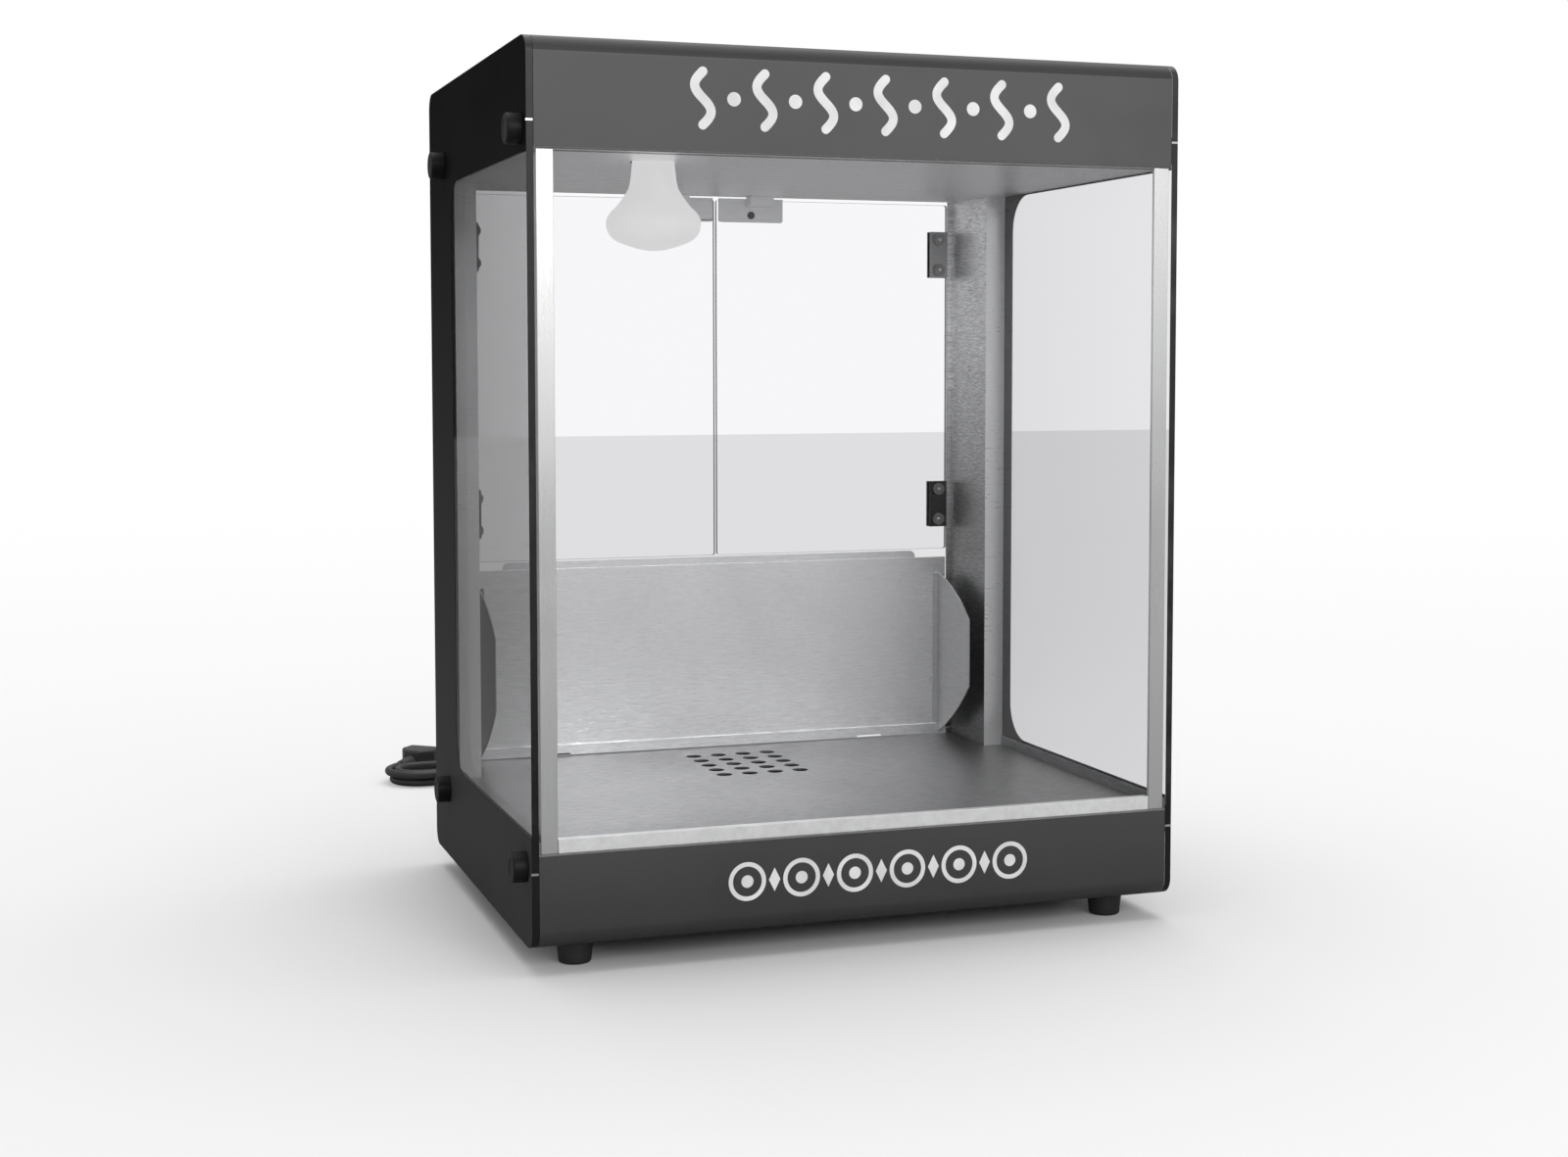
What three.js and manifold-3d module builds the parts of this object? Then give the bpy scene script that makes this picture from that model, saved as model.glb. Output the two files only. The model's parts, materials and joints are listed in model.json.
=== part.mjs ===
// A heated display cabinet for chips: a painted base and hood, glass on all sides, a pair of rear doors
// and a tilting flap below them. Millimetres, +Z up, the front faces -Y, the origin is between the feet.
import * as THREE from "three";
import { mergeVertices } from "three/addons/utils/BufferGeometryUtils.js";
import Module from "manifold-3d";

const wasm = await Module();
wasm.setup();

// Shared fits and the overrun of every cut
const overrun = 2;
const fit = 0.3;

// Counts of flats on round pieces
const bulbSides = 32;
const holeSides = 16;
const roundSides = 24;
const smallSides = 12;
const cornerSteps = 6;
const arcSteps = 12;

// Overall sizes of the cabinet
const bodyWidth = 460;
const bodyDepth = 349.2;
const plateHeight = 583;
const footHeight = 17;
const plateThickness = 5;
const plateCorner = 12;
const printThickness = 0.25;

// Painted base and hood
const baseHeight = 61.3;
const hoodHeight = 70.6;
const shellSheet = 1.5;
const shellLip = 12;

// Stainless floor and ceiling
const steelSheet = 1.2;
const floorLipHeight = 7.8;
const holeColumns = 4;
const holeRows = 5;
const holePitch = 20.5;
const holeDiameter = 12.5;
const holeFieldInset = 83.2;
const ceilingRearGap = 2.6;

// Front frame
const frontSetback = 0.6;
const postWidth = 11.1;
const postPlateGap = 1.7;
const postHem = 3;
const postWebDepth = 14;
const sillHeight = 9.2;
const sillDepth = 6;
const frontGlassThickness = 4;

// Rear columns
const columnInset = 21.8;
const columnDepth = 73.4;
const columnSetback = 0.6;
const columnLip = 3.6;
const columnLipSetback = 0.3;

// Painted border printed on the side plates
const printHoodDrop = 2.4;
const printBaseRise = 11;
const printRearWidth = 88.9;
const windowCorner = 28;

// Knobs that hold the side plates
const knobDiameter = 20;
const knobLength = 10;
const knobRightLength = 3.4;
const knobRound = 1.5;
const studDiameter = 5;
const studReach = 10;
const knobFrontInset = 16.3;
const knobRearInset = 57;
const knobBaseRise = 52;
const knobHoodDrop = 58.4;

// Feet
const footTopRadius = 12.6;
const footBottomRadius = 10.9;
const footInsetX = 35.7;
const footInsetY = 32.4;
const footRecessRadius = 4.5;
const footRecessDepth = 6;

// Lamp
const lampInsetX = 102.4;
const lampInsetY = 70.6;
const bulbLength = 102;
const bulbDrop = 59.2;
const bulbRadius = 32;
const bulbNeckRadius = 14.2;
const bulbCapRadius = 13;
const bulbCapLength = 25;
const holderWall = 3.6;
const holderFlangeRadius = 26;
const holderFlangeThickness = 2;
const holderRoof = 4;
const lampHoleGap = 1.8;

// Rear doors
const doorThickness = 4;
const doorRearInset = 0.6;
const doorGapHalf = 1;
const doorSideGap = 5.2;
const doorTopGap = 2.7;
const doorAboveLip = 1.5;
const doorCorner = 2;

// Door hinges
const hingeHeight = 38.1;
const hingeWidth = 15.5;
const hingeLeftWidth = 9.6;
const hingeLeftScrewInset = 6.1;
const hingeInnerThickness = 1.5;
const hingeLeafThickness = 1.8;
const hingeUpperTop = 96.8;
const hingeLowerRise = 18.8;
const hingeScrewInset = 6.4;
const capRadius = 5;
const capHeight = 2.2;
const screwRadius = 2.4;
const barrelRadius = 2.6;
const pinRadius = 1.3;
const barrelEnd = 10;
const frameLeafWidth = 14;

// Strike plates and magnet catches
const strikeWidth = 54.5;
const strikeHeight = 19;
const strikeCorner = 2;
const strikeInset = 2.5;
const strikeTopGap = 1.5;
const strikeScrewRise = 5.7;
const strikeCapRadius = 3;
const strikeCapHeight = 1;
const magnetWidth = 19.7;
const magnetHeight = 8.2;
const magnetDepth = 12.2;
const magnetX = 35.5;

// Tilting flap
const flapSideGap = 5.2;
const flapHeight = 149.6;
const flapSheet = 1.2;
const flapRearInset = 2.1;
const flapFloorGap = 0.8;
const hemHeight = 8;
const hemDepth = 3.7;
const rodRadius = 1.5;
const rodRise = 4.5;
const notchInset = 57.8;
const notchWidth = 22.4;
const notchHeight = 1.5;
const lipEndInset = 27;
const lipRise = 5.8;
const lipLap = 15;
const lipCorner = 5;

// Flap cheeks
const cheekInset = 6.2;
const cheekFlange = 5.2;
const cheekReach = 67.3;
const cheekTopRise = 137.8;
const cheekNoseTop = 104.5;
const cheekNoseBottom = 48.2;
const cheekUpperArc = 135;
const cheekLowerArc = 200;
const cheekFlangeInset = 1;

// Heating element under the floor holes
const heaterRadius = 4;
const heaterLength = 150;
const heaterWidth = 60;
const heaterRise = 34;
const heaterBend = 16;
const heaterFootLength = 8;
const heaterSteps = 40;

// Rocker switch on the rear of the base
const switchInset = 80;
const switchRise = 31;
const bezelWidth = 22;
const bezelHeight = 30;
const bezelThickness = 2;
const bodyWidthOfSwitch = 19;
const bodyHeightOfSwitch = 27;
const bodyDepthOfSwitch = 17;
const rockerWidth = 14;
const rockerHalfHeight = 10;
const rockerProud = 4.5;
const rockerDip = 3.2;
const rockerBack = 5;
const rockerBackHalf = 9.2;
const rockerPivotInset = 2.6;
const rockerTilt = 8;
const rockerSideGap = 0.5;
const rockerEndGap = 1.4;
const rockerFloorGap = 2.5;

// Mains lead: its diameter, gland, free stretch, hank, tie and plug
const leadRadius = 3.5;
const leadSides = 8;
const glandInset = 80;
const glandRise = 28;
const glandFlangeRadius = 9.5;
const glandFlangeThickness = 4;
const glandRootRadius = 7.5;
const glandTipRadius = 4.6;
const glandLength = 35;
const glandNeckRadius = 6;
const glandInside = 6;
const glandInsideRadius = 7.5;
const hankAside = 34;
const hankBehind = 340.4;
const hankRun = 140;
const hankTurnRadius = 29;
const hankStep = 8.2;
const hankLayer = 7.5;
const hankWaist = 8;
const hankSides = 6;
const hankRunSteps = 4;
const hankTurnSteps = 8;
const tieThickness = 1;
const tieWidth = 8;
const tieSideGap = 0.8;
const dropRadius = 60;
const sweepRadius = 60;
const joinRadius = 40;
const sweepPoints = 5;
const tailTurnShare = 0.7222;
const lastStopShare = 0.01;
const tailLength = 12;
const bootLength = 21;
const bootStartRadius = 4.2;
const bootEndRadius = 6.5;
const plugLength = 30;
const plugHalfHeight = 11;
const plugRearHalf = 9;
const plugFaceHalf = 17.5;
const plugFlare = 14;
const plugRound = 3;
const prongRadius = 2.4;
const prongLength = 19;
const prongPitch = 19;
const plugLap = 2;

// Places that follow from the sizes above
const halfWidth = bodyWidth / 2;
const halfDepth = bodyDepth / 2;
const plateBottom = footHeight;
const plateTop = footHeight + plateHeight;
const glassInner = halfWidth - plateThickness;
const inner = glassInner - printThickness;
const baseTop = plateBottom + baseHeight;
const floorTop = baseTop + steelSheet;
const hoodBottom = plateTop - hoodHeight;
const ceilingBottom = hoodBottom - steelSheet;
const frontY = -halfDepth + frontSetback;
const columnInnerX = halfWidth - columnInset;
const doorOuterX = columnInnerX - doorSideGap;
const flapHalfWidth = columnInnerX - flapSideGap;
const lipHalfWidth = flapHalfWidth - lipEndInset;
const cheekX = flapHalfWidth - cheekInset;
const notchFarX = flapHalfWidth - notchInset;
const notchNearX = notchFarX - notchWidth;
const switchX = halfWidth - switchInset;
const glandX = glandInset - halfWidth;
const hankX = glandX + hankAside;
const footX = halfWidth - footInsetX;
const footY = halfDepth - footInsetY;
const lampX = lampInsetX - halfWidth;
const lampY = lampInsetY - halfDepth;
const holeFieldY = halfDepth - holeFieldInset;
const hankY = halfDepth + hankBehind;
const columnRear = halfDepth - columnSetback;
const columnFront = columnRear - columnDepth;
const doorRear = halfDepth - doorRearInset;
const doorFront = doorRear - doorThickness;
const flapRear = halfDepth - flapRearInset;
const flapFront = flapRear - flapSheet;
const flapBottom = floorTop + flapFloorGap;
const flapTop = flapBottom + flapHeight;
const lipTop = flapTop + lipRise;
const doorBottom = lipTop + doorAboveLip;
const doorTop = ceilingBottom - doorTopGap;
const hingeAxisX = (doorOuterX + columnInnerX) / 2;
const hingeAxisY = doorRear + barrelRadius;
const rodY = flapRear - hemDepth / 2;
const rodZ = floorTop + rodRise;

// Materials with the colours of the photograph
function paint(color, roughness, metalness) {
  return new THREE.MeshStandardMaterial({ color, roughness, metalness });
}

const looks = {
  blackPaint: () => paint(0x2a2a2b, 0.45, 0.1),
  print: () => paint(0x121213, 0.3, 0),
  steel: () => paint(0xb4b4b6, 0.35, 1),
  darkSteel: () => paint(0x5a5a5c, 0.45, 0.8),
  rubber: () => paint(0x161617, 0.7, 0),
  plastic: () => paint(0x1c1c1d, 0.4, 0),
  ceramic: () => paint(0xe6e4de, 0.5, 0),
  bulb: () => paint(0xd9d9d9, 0.35, 0),
  magnet: () => paint(0xc4c4c6, 0.5, 0.2),
  heater: () => paint(0x6c6c6e, 0.4, 0.9),
  glass: () => Object.assign(paint(0xeef0f2, 0.05, 0), { transparent: true, opacity: 0.25 }),
};

// Closed geometry to a solid and back
function toSolid(geometry) {
  const plain = new THREE.BufferGeometry();
  plain.setAttribute("position", geometry.getAttribute("position").clone());
  if (geometry.index) plain.setIndex(geometry.index.clone());
  const merged = mergeVertices(plain);
  const triVerts = new Uint32Array(merged.index.array);
  const vertProperties = new Float32Array(merged.getAttribute("position").array);
  return new wasm.Manifold(new wasm.Mesh({ numProp: 3, vertProperties, triVerts }));
}

function toGeometry(solid) {
  const mesh = solid.getMesh();
  const geometry = new THREE.BufferGeometry();
  geometry.setAttribute("position", new THREE.BufferAttribute(new Float32Array(mesh.vertProperties), 3));
  geometry.setIndex(new THREE.BufferAttribute(new Uint32Array(mesh.triVerts), 1));
  geometry.computeVertexNormals();
  return geometry;
}

function join(...geometries) {
  return toGeometry(geometries.map(toSolid).reduce((a, b) => a.add(b)));
}

function cut(geometry, ...tools) {
  return toGeometry(tools.map(toSolid).reduce((a, b) => a.subtract(b), toSolid(geometry)));
}

// A block between two corners
function block(x0, x1, y0, y1, z0, z1) {
  const geometry = new THREE.BoxGeometry(x1 - x0, y1 - y0, z1 - z0);
  return geometry.translate((x0 + x1) / 2, (y0 + y1) / 2, (z0 + z1) / 2);
}

// A round bar along one axis, from one place on it to another
function bar(axis, radius, from, to, u, v, sides) {
  const geometry = new THREE.CylinderGeometry(radius, radius, to - from, sides);
  if (axis === "x") return geometry.rotateZ(Math.PI / 2).translate((from + to) / 2, u, v);
  if (axis === "y") return geometry.translate(u, (from + to) / 2, v);
  return geometry.rotateX(Math.PI / 2).translate(u, v, (from + to) / 2);
}

// An outline in the plane across an axis, drawn out along it
function drawnX(shape, x0, x1) {
  const options = { depth: x1 - x0, bevelEnabled: false, curveSegments: cornerSteps };
  const geometry = new THREE.ExtrudeGeometry(shape, options);
  return geometry.rotateX(Math.PI / 2).rotateZ(Math.PI / 2).translate(x0, 0, 0);
}

function drawnY(shape, y0, y1) {
  const options = { depth: y1 - y0, bevelEnabled: false, curveSegments: cornerSteps };
  const geometry = new THREE.ExtrudeGeometry(shape, options);
  return geometry.rotateX(Math.PI / 2).translate(0, y1, 0);
}

// A profile of radius and height turned round the vertical, then laid along +Y if asked
function turned(points, sides) {
  const profile = points.map(([r, z]) => new THREE.Vector2(r, z));
  return new THREE.LatheGeometry(profile, sides).rotateX(Math.PI / 2);
}

function layAlongY(geometry) {
  return geometry.rotateX(-Math.PI / 2);
}

function layAlongX(geometry) {
  return geometry.rotateY(Math.PI / 2);
}

// A rectangle with a radius of its own at each corner, from the low left one round to the left
function rounded(x0, x1, y0, y1, [r0, r1, r2, r3]) {
  const shape = new THREE.Shape();
  shape.moveTo(x0 + r0, y0);
  shape.lineTo(x1 - r1, y0);
  if (r1) shape.absarc(x1 - r1, y0 + r1, r1, -Math.PI / 2, 0, false);
  shape.lineTo(x1, y1 - r2);
  if (r2) shape.absarc(x1 - r2, y1 - r2, r2, 0, Math.PI / 2, false);
  shape.lineTo(x0 + r3, y1);
  if (r3) shape.absarc(x0 + r3, y1 - r3, r3, Math.PI / 2, Math.PI, false);
  shape.lineTo(x0, y0 + r0);
  if (r0) shape.absarc(x0 + r0, y0 + r0, r0, Math.PI, 1.5 * Math.PI, false);
  return shape;
}

const group = new THREE.Group();

function add(name, geometry, material) {
  const mesh = new THREE.Mesh(geometry, material);
  mesh.name = name;
  group.add(mesh);
  return mesh;
}

// The heights and depths of the knobs, shared by plates, prints and shells
const knobPlaces = [
  [-halfDepth + knobFrontInset, plateBottom + knobBaseRise],
  [halfDepth - knobRearInset, plateBottom + knobBaseRise],
  [-halfDepth + knobFrontInset, plateTop - knobHoodDrop],
  [halfDepth - knobRearInset, plateTop - knobHoodDrop],
];
const knobNames = ["front_lower", "rear_lower", "front_upper", "rear_upper"];

function studHoles(places, x0, x1) {
  const r = studDiameter / 2 + fit;
  return places.map(([y, z]) => bar("x", r, x0 - overrun, x1 + overrun, y, z, smallSides));
}

// Painted base: a pan of folded sheet with a narrow rim that carries the floor
function baseShell() {
  const outer = rounded(-halfDepth, halfDepth, plateBottom, baseTop, [plateCorner, plateCorner, 0, 0]);
  const bend = plateCorner - shellSheet;
  const hollow = rounded(-halfDepth + shellSheet, halfDepth - shellSheet, plateBottom + shellSheet,
    baseTop - shellSheet, [bend, bend, 0, 0]);
  const lip = shellSheet + shellLip;
  const mouth = block(-inner + lip, inner - lip, -halfDepth + lip, halfDepth - lip,
    baseTop - shellSheet - overrun, baseTop + overrun);
  const from = halfDepth - shellSheet - overrun;
  const to = halfDepth + overrun;
  const gland = bar("y", glandNeckRadius + fit, from, to, glandX, plateBottom + glandRise, roundSides);
  const half = bodyWidthOfSwitch / 2 + fit;
  const tall = bodyHeightOfSwitch / 2 + fit;
  const height = plateBottom + switchRise;
  const switchHole = block(switchX - half, switchX + half, from, to, height - tall, height + tall);
  const room = drawnX(hollow, -inner + shellSheet, inner - shellSheet);
  const studs = studHoles(knobPlaces.slice(0, 2), -inner, inner);
  return cut(drawnX(outer, -inner, inner), room, mouth, gland, switchHole, ...studs);
}

// Painted hood: the same folded box upside down, closed below by the ceiling
function hoodShell() {
  const outer = rounded(-halfDepth, halfDepth, hoodBottom, plateTop, [0, 0, plateCorner, plateCorner]);
  const bend = plateCorner - shellSheet;
  const hollow = rounded(-halfDepth + shellSheet, halfDepth - shellSheet, hoodBottom + shellSheet,
    plateTop - shellSheet, [0, 0, bend, bend]);
  const lip = shellSheet + shellLip;
  const mouth = block(-inner + lip, inner - lip, -halfDepth + lip, halfDepth - lip,
    hoodBottom - overrun, hoodBottom + shellSheet + overrun);
  return cut(drawnX(outer, -inner, inner), drawnX(hollow, -inner + shellSheet, inner - shellSheet), mouth,
    ...studHoles(knobPlaces.slice(2), -inner, inner));
}

// Stainless floor with its field of warm air holes
function floorTray() {
  const holes = [];
  for (let i = 0; i < holeColumns; i++) {
    for (let j = 0; j < holeRows; j++) {
      const x = (i - (holeColumns - 1) / 2) * holePitch;
      const y = holeFieldY + (j - (holeRows - 1) / 2) * holePitch;
      holes.push(bar("z", holeDiameter / 2, baseTop - overrun, floorTop + overrun, x, y, holeSides));
    }
  }
  return cut(block(-inner, inner, -halfDepth, halfDepth, baseTop, floorTop), ...holes);
}

function sideRail(side) {
  const from = inner - steelSheet;
  return block(Math.min(side * from, side * inner), Math.max(side * from, side * inner),
    frontY, columnFront - fit, floorTop, floorTop + floorLipHeight);
}

function ceilingPanel() {
  const hole = bar("z", bulbNeckRadius + lampHoleGap, ceilingBottom - overrun, hoodBottom + overrun,
    lampX, lampY, roundSides);
  return cut(block(-inner, inner, -halfDepth, halfDepth - ceilingRearGap, ceilingBottom, hoodBottom), hole);
}

// Front posts: a hemmed front strip with a web along the plate
function frontPost(side) {
  const outerX = glassInner - postPlateGap;
  const shape = new THREE.Shape();
  shape.moveTo(side * outerX, frontY);
  shape.lineTo(side * (outerX - postWidth), frontY);
  shape.lineTo(side * (outerX - postWidth), frontY + postHem);
  shape.lineTo(side * (outerX - steelSheet), frontY + postHem);
  shape.lineTo(side * (outerX - steelSheet), frontY + postWebDepth);
  shape.lineTo(side * outerX, frontY + postWebDepth);
  shape.closePath();
  const depth = ceilingBottom - floorTop;
  return new THREE.ExtrudeGeometry(shape, { depth, bevelEnabled: false }).translate(0, 0, floorTop);
}

function frontSill() {
  const reach = glassInner - postPlateGap - postWidth - fit;
  return block(-reach, reach, frontY, frontY + sillDepth, floorTop, floorTop + sillHeight);
}

function frontGlass() {
  const reach = glassInner - postPlateGap - steelSheet - fit;
  const front = frontY + sillDepth + fit;
  return block(-reach, reach, front, front + frontGlassThickness, floorTop + fit, ceilingBottom - fit);
}

// Rear columns: channels open towards the plates, with a lip beside the doors and a bore for the flap's rod
function rearColumn(side) {
  const shape = new THREE.Shape();
  shape.moveTo(side * inner, columnFront);
  shape.lineTo(side * columnInnerX, columnFront);
  shape.lineTo(side * columnInnerX, columnRear);
  shape.lineTo(side * inner, columnRear);
  shape.lineTo(side * inner, columnRear - steelSheet);
  shape.lineTo(side * (columnInnerX + steelSheet), columnRear - steelSheet);
  shape.lineTo(side * (columnInnerX + steelSheet), columnFront + steelSheet);
  shape.lineTo(side * inner, columnFront + steelSheet);
  shape.closePath();
  const options = { depth: ceilingBottom - floorTop, bevelEnabled: false };
  const channel = new THREE.ExtrudeGeometry(shape, options).translate(0, 0, floorTop);
  const lipRear = columnRear - columnLipSetback;
  const [l0, l1] = spanX(side, columnInnerX - columnLip, columnInnerX + steelSheet);
  const lip = block(l0, l1, lipRear - steelSheet, lipRear, floorTop, ceilingBottom);
  const from = side * columnInnerX;
  const to = side * (columnInnerX + steelSheet);
  const bore = bar("x", rodRadius + fit, Math.min(from, to) - overrun, Math.max(from, to) + overrun,
    rodY, rodZ, smallSides);
  return cut(join(channel, lip), bore);
}

function sideGlass(side) {
  const r = plateCorner;
  const outline = rounded(-halfDepth, halfDepth, plateBottom, plateTop, [r, r, r, r]);
  const [from, to] = side > 0 ? [glassInner, halfWidth] : [printThickness - halfWidth, -inner];
  return cut(drawnX(outline, from, to), ...studHoles(knobPlaces, from, to));
}

// Painted border on a side plate, open towards the front; both plates are printed on their left face
function sidePrint(side) {
  const r = plateCorner;
  const outline = rounded(-halfDepth, halfDepth, plateBottom, plateTop, [r, r, r, r]);
  const [from, to] = side > 0 ? [inner, glassInner] : [-halfWidth, printThickness - halfWidth];
  const opening = rounded(-halfDepth - overrun, halfDepth - printRearWidth, baseTop + printBaseRise,
    hoodBottom - printHoodDrop, [0, windowCorner, windowCorner, 0]);
  return cut(drawnX(outline, from, to), drawnX(opening, from - overrun, to + overrun),
    ...studHoles(knobPlaces, from, to));
}

// Knob with its stud, turned along X and set on the plate; the right plate has low ones
function knob(side) {
  const length = side > 0 ? knobRightLength : knobLength;
  const r = knobDiameter / 2;
  const s = studDiameter / 2;
  const inside = plateThickness + studReach;
  const profile = [[0, -inside], [s, -inside], [s, 0], [r, 0], [r, length - knobRound],
    [r - knobRound, length], [0, length]];
  const geometry = layAlongX(turned(profile, roundSides));
  return side > 0 ? geometry : geometry.rotateZ(Math.PI);
}

function foot() {
  return turned([[0, footRecessDepth], [footRecessRadius, footRecessDepth], [footRecessRadius, 0],
    [footBottomRadius, 0], [footTopRadius, footHeight], [0, footHeight]], roundSides);
}

// Reflector bulb: heights as shares of the drop, radii as shares of the widest one
const bulbFaceShares = [[0, 0], [0.26, 0.03], [0.57, 0.066], [0.745, 0.1], [0.85, 0.134], [0.95, 0.2],
  [0.992, 0.268], [1, 0.31], [0.985, 0.36], [0.905, 0.432], [0.785, 0.498], [0.683, 0.565], [0.6, 0.632],
  [0.528, 0.698], [0.484, 0.794], [0.466, 0.88]];

function bulb() {
  const low = ceilingBottom - bulbDrop;
  const face = bulbFaceShares.map(([r, z]) => [r * bulbRadius, low + z * bulbDrop]);
  const top = low + bulbLength;
  const capFoot = top - bulbCapLength;
  const neck = [[bulbNeckRadius, ceilingBottom], [bulbNeckRadius, capFoot - fit]];
  const cap = [[bulbCapRadius, capFoot], [bulbCapRadius, top - fit], [bulbCapRadius / 2, top], [0, top]];
  return turned([...face, ...neck, ...cap], bulbSides);
}

function lampHolder() {
  const top = ceilingBottom - bulbDrop + bulbLength;
  const bore = bulbNeckRadius + 2 * fit;
  const wall = bore + holderWall;
  const flange = hoodBottom + holderFlangeThickness;
  return turned([[0, top + fit], [bore, top + fit], [bore, hoodBottom], [holderFlangeRadius, hoodBottom],
    [holderFlangeRadius, flange], [wall, flange], [wall, top + holderRoof], [0, top + holderRoof],
  ], roundSides);
}

// Rear doors and what is on them, drawn for the right side and mirrored by the side's sign
const hingeTops = [plateTop - hingeUpperTop, doorBottom + hingeLowerRise + hingeHeight];

// The left hinges are narrower than the right ones
function hingeInnerX(side) {
  return doorOuterX - (side > 0 ? hingeWidth : hingeLeftWidth);
}

function hingeScrewX(side) {
  return side * (doorOuterX - (side > 0 ? hingeWidth / 2 : hingeLeftScrewInset));
}

function spanX(side, a, b) {
  return [Math.min(side * a, side * b), Math.max(side * a, side * b)];
}

function screwHeights(top) {
  return [top - hingeScrewInset, top - hingeHeight + hingeScrewInset];
}

function strikeTop() {
  return ceilingBottom - strikeTopGap;
}

const strikeScrewX = strikeInset + strikeWidth / 2;

function doorGlass(side) {
  const [x0, x1] = spanX(side, doorGapHalf, doorOuterX);
  const r = doorCorner;
  const outline = rounded(x0, x1, doorBottom, doorTop, [r, r, r, r]);
  const [from, to] = [doorFront - overrun, doorRear + overrun];
  const hole = (x, z) => bar("y", screwRadius + fit, from, to, x, z, smallSides);
  const holes = hingeTops.flatMap(screwHeights).map((z) => hole(hingeScrewX(side), z));
  const strikeHole = hole(side * strikeScrewX, strikeTop() - strikeHeight + strikeScrewRise);
  return cut(drawnY(outline, doorFront, doorRear), strikeHole, ...holes);
}

function hingeInner(side, top) {
  const [x0, x1] = spanX(side, hingeInnerX(side), doorOuterX);
  const front = doorFront - hingeInnerThickness;
  const plate = block(x0, x1, front, doorFront, top - hingeHeight, top);
  const middle = doorFront - hingeInnerThickness / 2;
  const rear = doorRear + hingeLeafThickness / 2;
  const screws = screwHeights(top).flatMap((z) => [
    bar("y", screwRadius, middle, rear, hingeScrewX(side), z, smallSides),
    bar("y", capRadius, front - capHeight, middle, hingeScrewX(side), z, roundSides),
  ]);
  return join(plate, ...screws);
}

function hingeDoorLeaf(side, top) {
  const [x0, x1] = spanX(side, hingeInnerX(side), hingeAxisX);
  const low = top - hingeHeight;
  const rear = doorRear + hingeLeafThickness;
  const [z0, z1] = [low + barrelEnd + fit, top - barrelEnd - fit];
  const leaf = block(x0, x1, doorRear, rear, z0, z1);
  const [w0, w1] = spanX(side, hingeInnerX(side), doorOuterX - fit);
  const wide = block(w0, w1, doorRear, rear, low, top);
  const barrel = bar("z", barrelRadius, z0, z1, side * hingeAxisX, hingeAxisY, smallSides);
  const bore = bar("z", pinRadius + fit, low, top, side * hingeAxisX, hingeAxisY, smallSides);
  const holes = screwHeights(top).map((z) => {
    return bar("y", screwRadius + fit, doorRear - overrun, rear + overrun, hingeScrewX(side), z, smallSides);
  });
  return cut(join(leaf, wide, barrel), bore, ...holes);
}

// Leaf on the column, with two knuckles and the pin through all three
function hingeFrameLeaf(side, top) {
  const low = top - hingeHeight;
  const [x0, x1] = spanX(side, columnInnerX + fit, columnInnerX + frameLeafWidth);
  const wide = block(x0, x1, columnRear, columnRear + hingeLeafThickness, low, top);
  const [a0, a1] = spanX(side, hingeAxisX, columnInnerX + 2 * fit);
  const arms = [[low, low + barrelEnd], [top - barrelEnd, top]].flatMap(([z0, z1]) => [
    block(a0, a1, columnRear, columnRear + hingeLeafThickness, z0, z1),
    bar("z", barrelRadius, z0, z1, side * hingeAxisX, hingeAxisY, smallSides),
  ]);
  const pin = bar("z", pinRadius, low, top, side * hingeAxisX, hingeAxisY, smallSides);
  return join(wide, ...arms, pin);
}

function strikePlate(side) {
  const [x0, x1] = spanX(side, strikeInset, strikeInset + strikeWidth);
  const top = strikeTop();
  const low = top - strikeHeight;
  const front = doorFront - hingeInnerThickness;
  const outline = rounded(x0, x1, low, top, [strikeCorner, strikeCorner, 0, 0]);
  const z = low + strikeScrewRise;
  const x = side * strikeScrewX;
  const shank = bar("y", screwRadius, front + fit, doorRear + fit, x, z, smallSides);
  const head = bar("y", strikeCapRadius, front - strikeCapHeight, front + fit, x, z, roundSides);
  const nut = bar("y", capRadius, doorRear, doorRear + hingeLeafThickness, x, z, roundSides);
  return join(drawnY(outline, front, doorFront), shank, head, nut);
}

function magnetCatch(side) {
  const rear = doorFront - hingeInnerThickness - fit;
  const [x0, x1] = spanX(side, magnetX - magnetWidth / 2, magnetX + magnetWidth / 2);
  return block(x0, x1, rear - magnetDepth, rear, ceilingBottom - magnetHeight, ceilingBottom);
}

// Flap: a panel with a hem round its rod below and a raised finger lip above
function flapPanel() {
  const w = flapHalfWidth;
  const hemFront = flapRear - hemDepth;
  const panel = block(-w, w, flapFront, flapRear, flapBottom, flapTop);
  const hem = block(-w, w, hemFront, flapRear, flapBottom, flapBottom + hemHeight);
  const corners = [0, 0, lipCorner, lipCorner];
  const lipOutline = rounded(-lipHalfWidth, lipHalfWidth, flapTop - lipLap, lipTop, corners);
  const lip = drawnY(lipOutline, flapRear, flapRear + flapSheet);
  const bore = bar("x", rodRadius + fit, -w - overrun, w + overrun, rodY, rodZ, smallSides);
  const notches = [[-notchFarX, -notchNearX], [notchNearX, notchFarX]].map(([x0, x1]) => {
    const [low, high] = [flapBottom - overrun, flapBottom + notchHeight];
    return block(x0, x1, hemFront - overrun, flapRear + overrun, low, high);
  });
  return cut(join(panel, hem, lip), bore, ...notches);
}

function flapRod() {
  const reach = columnInnerX + steelSheet;
  return bar("x", rodRadius, -reach, reach, rodY, rodZ, smallSides);
}

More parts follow.
